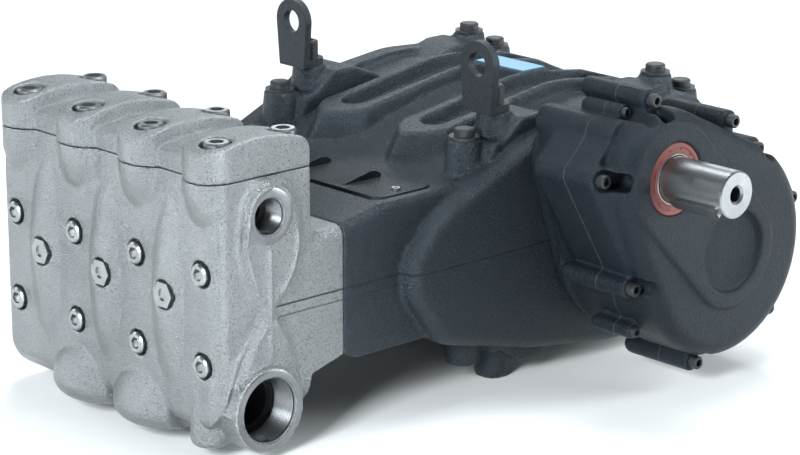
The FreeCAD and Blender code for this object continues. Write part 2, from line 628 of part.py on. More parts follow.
tools = []
front_screws = []
FRONT_SEAT = f"{FRONT} - Sizes.front_screw_proud + Sizes.front_screw_height"
HIGH_ROW = f"{AXIS_Z} + Sizes.front_screw_rise"
LOW_ROW = f"{AXIS_Z} - Sizes.front_screw_drop"
for i, x in enumerate(column_x):
    for name, z in (("high", HIGH_ROW), ("low", LOW_ROW)):
        seat = (x, FRONT_SEAT, z)
        mouth = moved(seat, TOWARDS_FRONT, "2 * Sizes.lobe_stand")
        tools.append(hole(f"front_bore_{name}_{i}", mouth, TOWARDS_FRONT, "Sizes.front_bore / 2",
                          "2 * Sizes.lobe_stand"))
        front_screws.append(socket_screw(f"front_screw_{name}_{i}", seat, TOWARDS_FRONT,
                                         "Sizes.front_screw_head", "Sizes.front_screw_height"))
hex_plugs = []
for i, x in enumerate(plunger_x):
    seat = (x, f"{FRONT} - Sizes.hex_plug_proud + Sizes.hex_plug_height", f"{AXIS_Z} + Sizes.hex_plug_rise")
    mouth = moved(seat, TOWARDS_FRONT, "2 * Sizes.lobe_stand")
    tools.append(hole(f"plug_bore_{i}", mouth, TOWARDS_FRONT, "Sizes.hex_plug_bore / 2",
                      "2 * Sizes.lobe_stand"))
    hexagon = primitive("Part::Prism", f"hex_plug_hexagon_{i}", seat, TOWARDS_FRONT[2],
                        Circumradius="Sizes.hex_plug_flats / sqrt(3)", Height="Sizes.hex_plug_height")
    collar = primitive("Part::Cylinder", f"hex_plug_collar_{i}", seat, TOWARDS_FRONT[2],
                       Radius="Sizes.hex_plug_bore / 2 - Sizes.fit_gap", Height="Sizes.hex_plug_collar")
    dimple = hole(f"hex_plug_dimple_{i}", moved(seat, TOWARDS_FRONT, "Sizes.hex_plug_height"), TOWARDS_FRONT,
                  "Sizes.hex_plug_flats / 4", "Sizes.hex_plug_height / 6")
    hex_plugs.append(cut_from(f"hex_plug_{i}", fused(f"hex_plug_solid_{i}", [hexagon, collar]), [dimple]))
OUTLET_Y = f"{FRONT} + Sizes.outlet_setback"
OUTLET_Z = f"{AXIS_Z} + Sizes.outlet_rise"
INLET_Y = f"{FRONT} + Sizes.inlet_setback"
INLET_Z = f"{AXIS_Z} - Sizes.inlet_drop"
for name, sign, direction in (("left", "-", TOWARDS_LEFT), ("right", "", TOWARDS_RIGHT)):
    outlet = (f"{sign}(Sizes.head_width / 2 + Sizes.outlet_stand)", OUTLET_Y, OUTLET_Z)
    inlet = (f"{sign}(Sizes.head_width / 2 + Sizes.inlet_stand)", INLET_Y, INLET_Z)
    for port, mouth in (("outlet", outlet), ("inlet", inlet)):
        bore = f"Sizes.{port}_bore / 2"
        tools.append(hole(f"{port}_thread_{name}", mouth, direction, bore, f"Sizes.{port}_length"))
        tools.append(hole(f"{port}_passage_{name}", mouth, direction, f"{bore} * Sizes.passage_share",
                          f"Sizes.{port}_length + Sizes.gallery_depth"))
    groove_mouth = moved(inlet, direction, "-Sizes.inlet_length")
    tools.append(hole(f"inlet_runout_{name}", groove_mouth, direction,
                      "Sizes.inlet_bore / 2 + Sizes.groove_depth", "Sizes.groove_width"))
register("fluid_end", cut_from("fluid_end", head_casting, tools))
together("front_screws", front_screws)
together("hex_plugs", hex_plugs)

# Valve cover: a plate with four crowned ridges over the columns.

plate = slab_x(
    [
        (head_top_front, joint),
        (head_top_front, joint + s.cover_valley, s.valley_round),
        ((head_top_front + head_back) / 2, joint + s.cover_valley_middle, s.crown_radius),
        (head_back, joint + s.cover_valley, s.valley_round),
        (head_back, joint),
    ],
    -half_head,
    half_head,
)
plate = plate.common(slab_z(head_outline(head_top_front), joint, joint + s.cover_crown))
ridge_front = head_top_front - s.lobe_stand
ridge_profile = [
    (ridge_front, joint),
    (ridge_front, joint + s.cover_end, s.cover_round),
    ((ridge_front + head_back) / 2, joint + s.cover_crown, s.crown_radius),
    (head_back, joint + s.cover_end, s.cover_round),
    (head_back, joint),
]
cover_top = joint + s.cover_crown + 1
plan_radius = (s.lobe_half ** 2 + s.lobe_stand ** 2) / (2 * s.lobe_stand)
ridges = []
for x in columns:
    plan = Part.makeCylinder(plan_radius, cover_top - joint, Vector(x, ridge_front + plan_radius, joint))
    plan = plan.common(box_between((x - s.lobe_half, ridge_front - 1, joint),
                                   (x + s.lobe_half, head_top_front, cover_top)))
    plan = plan.fuse(box_between((x - s.lobe_half, head_top_front, joint),
                                 (x + s.lobe_half, head_back, cover_top)))
    section = slab_y(
        [
            (x - s.lobe_half, joint),
            (x + s.lobe_half, joint),
            (x + s.lobe_half - s.ridge_draft_width, joint + s.cover_crown, s.ridge_round),
            (x - s.lobe_half + s.ridge_draft_width, joint + s.cover_crown, s.ridge_round),
        ],
        ridge_front - 1,
        head_back + 1,
    )
    ridge = slab_x(ridge_profile, x - s.lobe_half - 1, x + s.lobe_half + 1)
    ridges.append(ridge.common(plan).common(section).common(lobe_outline))
cover_casting = feature("valve_cover_casting", plate.multiFuse(ridges))
tools = []
cover_screws = []
for i, x in enumerate(column_x):
    for name, back in (("front", "Sizes.cover_screw_front"), ("rear", "Sizes.cover_screw_rear")):
        seat = (x, f"{FRONT} + {back}", f"{JOINT} + Sizes.cover_seat")
        tools.append(primitive("Part::Cylinder", f"cover_seat_{name}_{i}", seat, None,
                               Radius="Sizes.cover_seat_diameter / 2", Height="2 * Sizes.cover_crown"))
        cover_screws.append(socket_screw(f"cover_screw_{name}_{i}", seat, UP,
                                         "Sizes.cover_screw_head", "Sizes.cover_screw_height"))
register("valve_cover", cut_from("valve_cover", cover_casting, tools))
together("valve_cover_screws", cover_screws)

# Silver flange between the fluid end and the crankcase.

spacer_back = head_back + s.spacer_depth
spacer_top = axis_z + s.spacer_rise
spacer = slab_x(
    [
        (head_back, axis_z - s.spacer_drop),
        (spacer_back, axis_z - s.spacer_drop_rear, s.head_edge / 4),
        (spacer_back, spacer_top),
        (head_back, spacer_top),
    ],
    -half_head,
    half_head,
)
gusset = box_between((-half_head, head_back, spacer_top - 1),
                     (half_head, head_back + s.spacer_fillet, spacer_top + s.spacer_fillet))
gusset = gusset.cut(cylinder_x(s.spacer_fillet, -half_head - 1, half_head + 1,
                               head_back + s.spacer_fillet, spacer_top + s.spacer_fillet))
spacer = spacer.makeFillet(s.case_edge, edges_at(
    spacer, lambda c: abs(abs(c.x) - half_head) < 1e-3 and abs(c.z - spacer_top) < 1e-3))
spacer = spacer.fuse(gusset)
register("flange", feature("flange", spacer))

# Crankcase: a narrow front, drum sides, bolt shoulders and two grooved ridges.

half_case = s.case_width / 2
half_body = s.body_width / 2
case_low = axis_z - s.case_drop
case_top = axis_z + s.case_rise
narrow_back = -s.body_front + s.narrow_overlap
narrow = slab_x(
    [
        (spacer_back, axis_z - s.spacer_drop_rear),
        (spacer_back + s.case_step, case_low, s.case_step),
        (narrow_back, case_low),
        (narrow_back, case_top),
        (-s.hatch_front, case_top, s.case_bend),
        (spacer_back, axis_z + s.spacer_rise),
    ],
    -half_case,
    half_case,
)
narrow = narrow.makeFillet(s.case_edge, edges_at(
    narrow, lambda c: abs(abs(c.x) - half_case) < 1e-3 and c.z > spacer_top - 1 and c.y < narrow_back - 1))

low_z = axis_z - s.body_drop
sump_z = axis_z - s.sump_drop
deck_z = axis_z + s.deck_rise
drum_points = [
    (-s.body_front, axis_z - s.drum_nose_low, s.drum_round),
    (-s.body_front, axis_z + s.drum_nose_high, s.drum_round),
    (-s.body_front + s.drum_nose_run, axis_z + s.drum_nose_top, 2 * s.drum_round),
    (-s.boss_inner + s.drum_step, axis_z + s.deck_front_rise, 2 * s.drum_round),
    (crank_y, deck_z + s.drum_crown, 4 * s.drum_round),
    (s.body_rear - s.drum_round, deck_z, s.drum_round),
    (s.body_rear, axis_z + s.drum_nose_top, s.drum_round),
    (s.body_rear, axis_z - s.drum_nose_top, s.drum_round),
    (s.body_rear - s.drum_round, low_z - s.drum_crown, s.drum_round),
    (crank_y, sump_z, 4 * s.drum_round),
    (-s.boss_inner + s.drum_step, low_z, 2 * s.drum_round),
    (-s.body_front + s.drum_round, case_low - s.drum_crown, s.drum_round),
]
drums = []
for side in (-1, 1):
    low, high = sorted((side * s.drum_inner, side * half_body))
    drum = slab_x(drum_points, low, high)
    drums.append(drum.makeFillet(s.drum_edge, edges_at(drum, lambda c: abs(c.x - side * half_body) < 1e-3)))

floor_z = axis_z + s.floor_rise
under_z = axis_z - s.floor_drop
middle_front = -s.body_front + s.drum_edge
middle_rear = s.body_rear - s.drum_edge / 2
middle = slab_x(
    [
        (middle_front, case_low),
        (middle_front + s.drum_step, case_low, s.drum_step),
        (-s.boss_inner, under_z, 2 * s.drum_round),
        (s.body_rear - s.drum_round, under_z, s.drum_round),
        (middle_rear, axis_z - s.drum_round, s.drum_round),
        (middle_rear, axis_z + s.drum_round, s.drum_round),
        (s.boss_inner, floor_z - s.floor_fall, s.drum_round),
        (crank_y, floor_z, 2 * s.drum_round),
        (-s.drum_round, floor_z - s.floor_fall, 2 * s.drum_round),
        (-s.boss_inner + s.drum_step, case_top + s.floor_step, s.drum_round),
        (-s.boss_outer - s.drum_step, case_top, s.drum_round),
        (middle_front, case_top),
    ],
    -s.drum_inner - 1,
    s.drum_inner + 1,
)


def shoulder_points(row, up, outer, inner, fade, base):
    # Stepped profile that carries the outer and the inner bolt boss of one row.
    return [
        (row * (s.boss_outer + s.shoulder_toe), axis_z + up * base),
        (row * (s.boss_outer - s.shoulder_step), axis_z + up * outer, s.shoulder_step / 2),
        (row * (s.boss_inner + s.shoulder_step), axis_z + up * outer, s.shoulder_step / 2),
        (row * (s.boss_inner - s.shoulder_step), axis_z + up * inner, s.shoulder_step),
        (row * (s.boss_inner - 3 * s.shoulder_step), axis_z + up * inner, 2 * s.shoulder_step),
        (row * (s.boss_inner - 6 * s.shoulder_step), axis_z + up * fade),
        (row * (s.boss_inner - 6 * s.shoulder_step), axis_z + up * base),
    ]


shoulders = []
for side in (-1, 1):
    low, high = sorted((side * s.shoulder_inner, side * s.shoulder_outer))
    for row in (-1, 1):
        shoulder = slab_x(shoulder_points(row, 1, s.shoulder_rise, s.shoulder_crest, s.shoulder_fade,
                                          s.shoulder_base), low, high)
        crest_edges = edges_at(shoulder, lambda c: c.z > axis_z + s.shoulder_base + 1
                               and abs(c.x - side * s.shoulder_inner) < 1e-3)
        shoulders.append(shoulder.makeFillet(s.shoulder_edge, crest_edges))
        shoulders.append(slab_x(shoulder_points(row, -1, s.shoulder_drop, s.shoulder_crest, s.shoulder_fade,
                                                s.shoulder_base), low, high))

# The ridges run over the crankshaft, each with a flat band round a long groove.


def crest_points(sunk):
    rise = axis_z + s.hump_rise - sunk
    return [
        (-s.hump_front, axis_z + s.shoulder_base),
        (-s.hump_front, rise - 2 * s.band_width),
        (-s.band_reach + 2 * s.band_width, rise - s.ridge_fall, s.drum_round),
        (crank_y, rise, 4 * s.drum_round),
        (s.boss_inner, rise - s.ridge_fall / 2, s.drum_round),
        (s.body_rear, rise - s.drum_round),
        (s.body_rear, axis_z + s.shoulder_base),
    ]


def ridge_outline(x, half, tip, rear, z, pointed):
    # Long outline with a nose between a half circle (pointed 0) and two straight lines (pointed 1).
    bow = half / 2 + half * (math.sqrt(0.5) - 0.5) * (1 - pointed)

    def at(a, b):
        return Vector(x + a, b, z)

    return Part.Wire([
        Part.LineSegment(at(-half, rear), at(-half, tip + half)).toShape(),
        Part.Arc(at(-half, tip + half), at(-bow, tip + half - bow), at(0, tip)).toShape(),
        Part.Arc(at(0, tip), at(bow, tip + half - bow), at(half, tip + half)).toShape(),
        Part.LineSegment(at(half, tip + half), at(half, rear)).toShape(),
        Part.LineSegment(at(half, rear), at(-half, rear)).toShape(),
    ])


def tapered_ridge(x, half, tip, rear, draft, nose, pointed):
    # The sides and the nose change with the distance below the level of the tip.
    tip_z = axis_z + s.hump_rise - s.ridge_fall
    low = axis_z + s.shoulder_base
    high = axis_z + s.hump_rise + s.ridge_fall
    wires = []
    for z, share in ((low, pointed), (high, 0)):
        below = tip_z - z
        wires.append(ridge_outline(x, half + below * draft, tip - below * nose, rear, z, share))
    return Part.makeLoft(wires, True, True)


crest = slab_x(crest_points(0), -s.drum_inner, s.drum_inner)
groove_floor = slab_x(crest_points(s.groove_sunk), -s.drum_inner, s.drum_inner)
ridge_rear = s.body_rear - s.drum_edge
loaves = []
grooves = []
for x in (-s.band_offset, s.band_offset):
    loaf = tapered_ridge(x, s.band_half, -s.band_reach, ridge_rear, s.ridge_draft, s.ridge_nose_draft,
                         s.ridge_prow).common(crest)
    rims = edges_at(loaf, lambda c: c.z > axis_z + s.hump_rise - 2 * s.ridge_fall and c.y < s.boss_inner)
    loaves.append(loaf.makeFillet(s.ridge_edge, rims))
    groove = tapered_ridge(x, s.band_half - s.band_width, -s.band_reach + 2 * s.band_width,
                           s.boss_inner, -s.ridge_draft, -s.ridge_draft, 0)
    grooves.append(groove.cut(groove_floor))



def tapered_boss(x, y, tip_z, up):
    base = Vector(x, y, tip_z - up * s.boss_length)
    return Part.makeCone(s.boss_root / 2, s.boss_tip / 2, s.boss_length, base, Vector(0, 0, up))


bosses = []
for x in (-s.boss_x, s.boss_x):
    for row in (-1, 1):
        for y, top in ((s.boss_inner, s.boss_inner_rise), (s.boss_outer, s.boss_outer_rise)):
            bosses.append(tapered_boss(x, row * y, axis_z + top, 1))
        for y, drop in ((s.boss_inner, s.crank_height), (s.boss_outer, s.boss_outer_drop)):
            bosses.append(tapered_boss(x, row * y, axis_z - drop, -1))
label_z = axis_z + s.hump_rise - s.label_sunk
label_low = s.label_setback - s.label_length / 2 - s.label_margin
label_high = s.label_setback + s.label_length / 2 + s.label_margin
label_half = s.label_width / 2 + s.label_margin
label_pad = box_between((-label_half, label_low, axis_z + s.shoulder_base), (label_half, label_high, label_z))
case = narrow.multiFuse([middle, label_pad] + drums + shoulders + loaves + bosses)
for groove in grooves:
    case = case.cut(groove)

hatch_z = case_top + s.hatch_proud
hatch_floor = hatch_z - s.hatch_thickness


def hatch_outline(grow):
    half = s.hatch_width / 2 + grow
    low = -s.hatch_front - grow
    high = -s.hatch_front + s.hatch_length + grow
    corner = s.hatch_corner + grow
    return [(-half, low, corner), (half, low, corner), (half, high, corner), (-half, high, corner)]


case = case.cut(slab_z(hatch_outline(s.hatch_gap), hatch_floor, axis_z + s.hump_rise))
case_casting = feature("crankcase_casting", case)

label_seat = primitive("Part::Box", "label_seat",
                       ("-(Sizes.label_width / 2 + Sizes.label_margin)",
                        "Sizes.label_setback - Sizes.label_length / 2 - Sizes.label_margin",
                        f"{AXIS_Z} + Sizes.hump_rise - Sizes.label_sunk"), None,
                       Length="Sizes.label_width + 2 * Sizes.label_margin",
                       Width="Sizes.label_length + 2 * Sizes.label_margin", Height="Sizes.hump_rise")
upper_tools = [label_seat]
lower_tools = []
for column, x in (("left", "-Sizes.boss_x"), ("right", "Sizes.boss_x")):
    for row, sign in (("front", "-"), ("rear", "")):
        for name, y, rise in (("inner", "Sizes.boss_inner", "Sizes.boss_inner_rise"),
                              ("outer", "Sizes.boss_outer", "Sizes.boss_outer_rise")):
            upper_tools.append(primitive("Part::Cylinder", f"spot_face_{name}_{row}_{column}",
                                         (x, f"{sign}{y}", f"{AXIS_Z} + {rise}"), None,
                                         Radius="Sizes.washer_diameter / 2 + Sizes.spot_margin",
                                         Height="Sizes.deck_rise"))
        lower_tools.append(primitive("Part::Cylinder", f"foot_hole_{row}_{column}",
                                     (x, f"{sign}Sizes.boss_inner", "0"), None,
                                     Radius="Sizes.foot_hole / 2", Height="Sizes.foot_hole_depth"))
above = primitive("Part::Box", "above_the_crank_axis",
                  ("-Sizes.body_width", "-2 * Sizes.body_front", AXIS_Z), None,
                  Length="2 * Sizes.body_width", Width="4 * Sizes.body_front",
                  Height="2 * Sizes.crank_height")
upper_half = doc.addObject("Part::Common", "crankcase_upper_half")
upper_half.Base = case_casting
upper_half.Tool = above
register("crankcase_upper", cut_from("crankcase_upper", upper_half, upper_tools))
lower_half = cut_from("crankcase_lower_half", case_casting, [above])
register("crankcase_lower", cut_from("crankcase_lower", lower_half, lower_tools))

# Access cover, its wedge grips and screws.

hatch_plate = feature("access_cover_plate", slab_z(hatch_outline(0), hatch_floor, hatch_z))
grip_tip = -s.hatch_front + s.grip_inset
grip_end = grip_tip + s.grip_length
grip_top = hatch_z + s.grip_height
grips = []
for x in (-s.grip_outer, -s.grip_inner, s.grip_inner, s.grip_outer):
    rising = slab_x(
        [
            (grip_tip, hatch_z),
            (grip_end - s.grip_height, grip_top, 2 * s.grip_height),
            (grip_end, hatch_z + s.grip_height / 3, s.grip_height / 3),
            (grip_end, hatch_z),
        ],
        x - s.grip_width,
        x,
    )
    sloping = slab_y([(x - s.grip_width, hatch_z), (x, hatch_z), (x, grip_top)], grip_tip, grip_end)
    grips.append(feature("grip", rising.common(sloping)))
register("access_cover", fused("access_cover", [hatch_plate] + grips))
hatch_screws = []
for i, side in enumerate((-1, 1)):
    seat = (f"({side}) * (Sizes.hatch_width / 2 - Sizes.hatch_screw_inset)",
            "-Sizes.hatch_front + Sizes.hatch_screw_setback",
            f"{AXIS_Z} + Sizes.case_rise + Sizes.hatch_proud")
    hatch_screws.append(socket_screw(f"hatch_screw_{i}", seat, UP,
                                     "Sizes.hatch_screw", "Sizes.hatch_screw_height"))
together("access_cover_screws", hatch_screws)

# Blue plate on the raised middle.

register("blue_plate", primitive(
    "Part::Box", "blue_plate",
    ("-Sizes.label_width / 2", "Sizes.label_setback - Sizes.label_length / 2",
     f"{AXIS_Z} + Sizes.hump_rise - Sizes.label_sunk"), None,
    Length="Sizes.label_width", Width="Sizes.label_length", Height="Sizes.label_thickness"))

# Case bolts with their washers.

for column, x in (("left", "-Sizes.boss_x"), ("right", "Sizes.boss_x")):
    washers = []
    bolts = []
    for name, y, rise in (
        ("front", "-Sizes.boss_outer", "Sizes.boss_outer_rise"),
        ("middle", "Sizes.boss_inner", "Sizes.boss_inner_rise"),
        ("rear", "Sizes.boss_outer", "Sizes.boss_outer_rise"),
    ):
        seat = (x, y, f"{AXIS_Z} + {rise}")
        washers.append(primitive("Part::Cylinder", f"washer_{name}_{column}", seat, None,
                                 Radius="Sizes.washer_diameter / 2", Height="Sizes.washer_height"))
        under = moved(seat, UP, "Sizes.washer_height")
        bevel = "Sizes.bolt_head * Sizes.screw_bevel"
        head_low_part = primitive("Part::Cylinder", f"bolt_head_{name}_{column}", under, None,
                                  Radius="Sizes.bolt_head / 2", Height=f"Sizes.bolt_height - {bevel}")
        head_rim = primitive("Part::Cone", f"bolt_rim_{name}_{column}",
                             moved(under, UP, f"Sizes.bolt_height - {bevel}"), None,
                             Radius1="Sizes.bolt_head / 2", Radius2=f"Sizes.bolt_head / 2 - {bevel}",
                             Height=bevel)
        bolts.append(fused(f"bolt_{name}_{column}", [head_low_part, head_rim]))
    together(f"case_washers_{column}", washers)
    together(f"case_bolts_{column}", bolts)


# Sketched bodies.


def sketch_on(body, role, name):
    plane = next(item for item in body.Origin.OriginFeatures if item.Role == role)
    sketch = body.newObject("Sketcher::SketchObject", name)
    sketch.AttachmentSupport = [(plane, "")]
    sketch.MapMode = "FlatFace"
    return sketch


def bound_circle(sketch, at, radius):
    # Circle on the sketch with its centre on the sketch's upright axis or origin.
    i = sketch.addGeometry(Part.Circle(Vector(0, at[1], 0), Vector(0, 0, 1), radius[1]), False)
    sketch.addConstraint(Sketcher.Constraint("PointOnObject", i, 3, -2))
    if at[0] is None:
        sketch.addConstraint(Sketcher.Constraint("PointOnObject", i, 3, -1))
    else:
        c = sketch.addConstraint(Sketcher.Constraint("DistanceY", -1, 1, i, 3, at[1]))
        sketch.setExpression(f"Constraints[{c}]", at[0])
    c = sketch.addConstraint(Sketcher.Constraint("Radius", i, radius[1]))
    sketch.setExpression(f"Constraints[{c}]", radius[0])
    return i


def pad_of(body, sketch, name, length, centred=False):
    pad = body.newObject("PartDesign::Pad", name)
    pad.Profile = sketch
    if centred:
        pad.SideType = "Symmetric"
    pad.setExpression("Length", length)
    sketch.Visibility = False
    return pad


def pocket_of(body, sketch, name, length, centred=False, reversed_way=False):
    pocket = body.newObject("PartDesign::Pocket", name)
    pocket.Profile = sketch
    if centred:
        pocket.SideType = "Symmetric"
    pocket.Reversed = reversed_way
    pocket.setExpression("Length", length)
    sketch.Visibility = False
    return pocket


def volume_drops(body, make):
    doc.recompute()
    before = body.Shape.Volume
    make()
    doc.recompute()
    if not body.Shape.Volume < before - 1:
        raise RuntimeError(f"{body.Label}: a pocket cuts nothing")


# Lifting eyes: an upright plate with an eye, on a round foot held by a socket screw.

EYE_BASE = f"{AXIS_Z} + Sizes.boss_inner_rise"
for column, x in (("left", "-Sizes.boss_x"), ("right", "Sizes.boss_x")):
    eye = doc.addObject("PartDesign::Body", f"lifting_eye_{column}")
    half = s.eye_width / 2
    root = s.eye_root / 2
    height = s.eye_rise - s.boss_inner_rise
    outline = sketch_on(eye, "XZ_Plane", f"eye_outline_{column}")
    corners_of_eye = [Vector(-root, 0, 0), Vector(root, 0, 0),
                      Vector(half, height, 0), Vector(-half, height, 0)]
    outline.addGeometry(Part.LineSegment(corners_of_eye[0], corners_of_eye[1]), False)
    outline.addGeometry(Part.LineSegment(corners_of_eye[1], corners_of_eye[2]), False)
    arc = Part.ArcOfCircle(Part.Circle(Vector(0, height, 0), Vector(0, 0, 1), half), 0, math.pi)
    outline.addGeometry(arc, False)
    outline.addGeometry(Part.LineSegment(corners_of_eye[3], corners_of_eye[0]), False)
    outline.addConstraint([
        Sketcher.Constraint("Coincident", 0, 2, 1, 1),
        Sketcher.Constraint("Coincident", 1, 2, 2, 1),
        Sketcher.Constraint("Coincident", 2, 2, 3, 1),
        Sketcher.Constraint("Coincident", 3, 2, 0, 1),
        Sketcher.Constraint("Symmetric", 0, 1, 0, 2, -2),
        Sketcher.Constraint("PointOnObject", 0, 1, -1),
        Sketcher.Constraint("PointOnObject", 2, 3, -2),
        Sketcher.Constraint("Horizontal", 2, 1, 2, 3),
        Sketcher.Constraint("Horizontal", 2, 2, 2, 3),
    ])
    c = outline.addConstraint(Sketcher.Constraint("DistanceX", 0, 1, 0, 2, 2 * root))
    outline.setExpression(f"Constraints[{c}]", "Sizes.eye_root")
    c = outline.addConstraint(Sketcher.Constraint("Radius", 2, half))
    outline.setExpression(f"Constraints[{c}]", "Sizes.eye_width / 2")
    c = outline.addConstraint(Sketcher.Constraint("DistanceY", -1, 1, 2, 3, height))
    outline.setExpression(f"Constraints[{c}]", "Sizes.eye_rise - Sizes.boss_inner_rise")
    pad_of(eye, outline, f"eye_plate_{column}", "Sizes.eye_thickness", centred=True)
    eye_hole = sketch_on(eye, "XZ_Plane", f"eye_hole_{column}")
    bound_circle(eye_hole, ("Sizes.eye_rise - Sizes.boss_inner_rise", height),
                 ("Sizes.eye_bore / 2", s.eye_bore / 2))
    volume_drops(eye, lambda: pocket_of(eye, eye_hole, f"eye_bore_{column}",
                                        "2 * Sizes.eye_thickness", centred=True))
    foot = sketch_on(eye, "XY_Plane", f"eye_foot_{column}")
    foot_reach = s.eye_setback - s.boss_inner
    foot_half = s.washer_diameter / 2
    foot.addGeometry(Part.LineSegment(Vector(-foot_half, 0, 0), Vector(foot_half, 0, 0)), False)
    foot.addGeometry(Part.LineSegment(Vector(foot_half, 0, 0), Vector(foot_half, foot_reach, 0)), False)
    arc = Part.ArcOfCircle(Part.Circle(Vector(0, foot_reach, 0), Vector(0, 0, 1), foot_half), 0, math.pi)
    foot.addGeometry(arc, False)
    foot.addGeometry(Part.LineSegment(Vector(-foot_half, foot_reach, 0), Vector(-foot_half, 0, 0)), False)
    foot.addConstraint([
        Sketcher.Constraint("Coincident", 0, 2, 1, 1),
        Sketcher.Constraint("Coincident", 1, 2, 2, 1),
        Sketcher.Constraint("Coincident", 2, 2, 3, 1),
        Sketcher.Constraint("Coincident", 3, 2, 0, 1),
        Sketcher.Constraint("Horizontal", 0),
        Sketcher.Constraint("Vertical", 1),
        Sketcher.Constraint("Vertical", 3),
        Sketcher.Constraint("PointOnObject", 0, 1, -1),
        Sketcher.Constraint("PointOnObject", 2, 3, -2),
        Sketcher.Constraint("Horizontal", 2, 1, 2, 3),
        Sketcher.Constraint("Horizontal", 2, 2, 2, 3),
    ])
    c = foot.addConstraint(Sketcher.Constraint("Radius", 2, foot_half))
    foot.setExpression(f"Constraints[{c}]", "Sizes.washer_diameter / 2")
    c = foot.addConstraint(Sketcher.Constraint("DistanceY", -1, 1, 2, 3, foot_reach))
    foot.setExpression(f"Constraints[{c}]", "Sizes.eye_setback - Sizes.boss_inner")
    pad_of(eye, foot, f"eye_foot_plate_{column}", "Sizes.eye_foot")
    eye.setExpression("Placement.Base.x", x)
    eye.setExpression("Placement.Base.y", "-Sizes.eye_setback")
    eye.setExpression("Placement.Base.z", EYE_BASE)
    register(f"lifting_eye_{column}", eye)
    seat = (x, "-Sizes.boss_inner", f"{EYE_BASE} + Sizes.eye_foot")
    register(f"eye_screw_{column}", socket_screw(f"eye_screw_{column}", seat, UP,
                                                 "Sizes.eye_screw_head", "Sizes.eye_screw_height"))

# Gearbox housing and cover.

shaft_y = -s.shaft_lead
shaft_z = axis_z + s.shaft_rise
SHAFT_Y = "-Sizes.shaft_lead"
SHAFT_Z = f"{AXIS_Z} + Sizes.shaft_rise"


def hull_wire(first, first_radius, second, second_radius, x):
    # Outline round two circles in the plane at x, each with its centre as (y, z).
    dy = second[0] - first[0]
    dz = second[1] - first[1]
    bearing = math.atan2(dz, dy)
    spread = math.acos((first_radius - second_radius) / math.hypot(dy, dz))

    def on_circle(centre, radius, angle):
        return Vector(x, centre[0] + radius * math.cos(angle), centre[1] + radius * math.sin(angle))

    low = bearing - spread
    high = bearing + spread
    first_low = on_circle(first, first_radius, low)
    first_high = on_circle(first, first_radius, high)
    second_low = on_circle(second, second_radius, low)
    second_high = on_circle(second, second_radius, high)
    return Part.Wire([
        Part.Arc(first_low, on_circle(first, first_radius, bearing + math.pi), first_high).toShape(),
        Part.LineSegment(first_high, second_high).toShape(),
        Part.Arc(second_high, on_circle(second, second_radius, bearing), second_low).toShape(),
        Part.LineSegment(second_low, first_low).toShape(),
    ])


gear_root = (crank_y, axis_z)
pinion_root = (shaft_y, shaft_z)


def teardrop(gear, pinion, low, high):
    return Part.Face(hull_wire(gear_root, gear, pinion_root, pinion, low)).extrude(Vector(high - low, 0, 0))


def teardrop_loft(low_radii, high_radii, low, high):
    wires = [hull_wire(gear_root, gear, pinion_root, pinion, x)
             for (gear, pinion), x in ((low_radii, low), (high_radii, high))]
    return Part.makeLoft(wires, True, True)


def between(shape, low, high):
    box = shape.BoundBox
    return shape.common(box_between((low, box.YMin - 1, box.ZMin - 1), (high, box.YMax + 1, box.ZMax + 1)))


def boss_with_web(low, high, place, root, diameter, width, back=None):
    # Round boss with a rounded back end and a web to the body of the gearbox.
    boss = cylinder_x(diameter / 2, low, high, *place)
    if back is not None:
        boss = boss.fuse(Part.makeSphere(diameter / 2, Vector(back, *place)))
    reach = math.hypot(place[0] - root[0], place[1] - root[1])
    turn = math.degrees(math.atan2(place[1] - root[1], place[0] - root[0]))
    web = box_between((low, reach / 2, -width / 2), (high, reach, width / 2))
    web.rotate(Vector(0, 0, 0), Vector(1, 0, 0), turn)
    web.translate(Vector(0, root[0], root[1]))
    return boss.fuse(web)


# Cover screws: the axis that each goes round, its circle, its angle from +Y towards +Z,
# the length of its pocket and the back end of its boss.
GEAR_CIRCLE = "(Sizes.gear_radius + Sizes.gear_screw_offset)"
TOP_CIRCLE = "(Sizes.gear_radius + Sizes.top_screw_offset)"
HIGH_CIRCLE = "(Sizes.gear_radius + Sizes.high_screw_offset)"
PINION_CIRCLE = "(Sizes.lip_radius + Sizes.pinion_screw_offset)"
gear_circle = s.gear_radius + s.gear_screw_offset
top_circle = s.gear_radius + s.top_screw_offset
high_circle = s.gear_radius + s.high_screw_offset
pinion_circle = s.lip_radius + s.pinion_screw_offset
SCREWS = [
    (gear_root, high_circle, HIGH_CIRCLE, 56, s.gear_slot, s.gear_boss_back),
    (gear_root, gear_circle, GEAR_CIRCLE, 14, s.gear_slot, s.gear_boss_back),
    (gear_root, gear_circle, GEAR_CIRCLE, -44, s.gear_slot, s.gear_boss_back),
    (gear_root, gear_circle, GEAR_CIRCLE, -101, s.gear_slot, s.gear_boss_back),
    (gear_root, gear_circle, GEAR_CIRCLE, 190, s.gear_slot, s.gear_boss_back),
    (gear_root, top_circle, TOP_CIRCLE, 80, s.gear_slot, s.gear_boss_back),
    (pinion_root, pinion_circle, PINION_CIRCLE, 95, s.pinion_slot, s.gear_boss_back),
    (pinion_root, pinion_circle, PINION_CIRCLE, 175, s.pinion_slot, s.side_boss_back),
]
SMALL_CIRCLE = "Sizes.small_boss_circle"
SMALL_SCREWS = [
    (gear_root, gear_circle, GEAR_CIRCLE, 218.5),
    (pinion_root, s.small_boss_circle, SMALL_CIRCLE, s.small_boss_turn),
]


def around(root, radius, degrees):
    a = math.radians(degrees)
    return root[0] + radius * math.cos(a), root[1] + radius * math.sin(a)


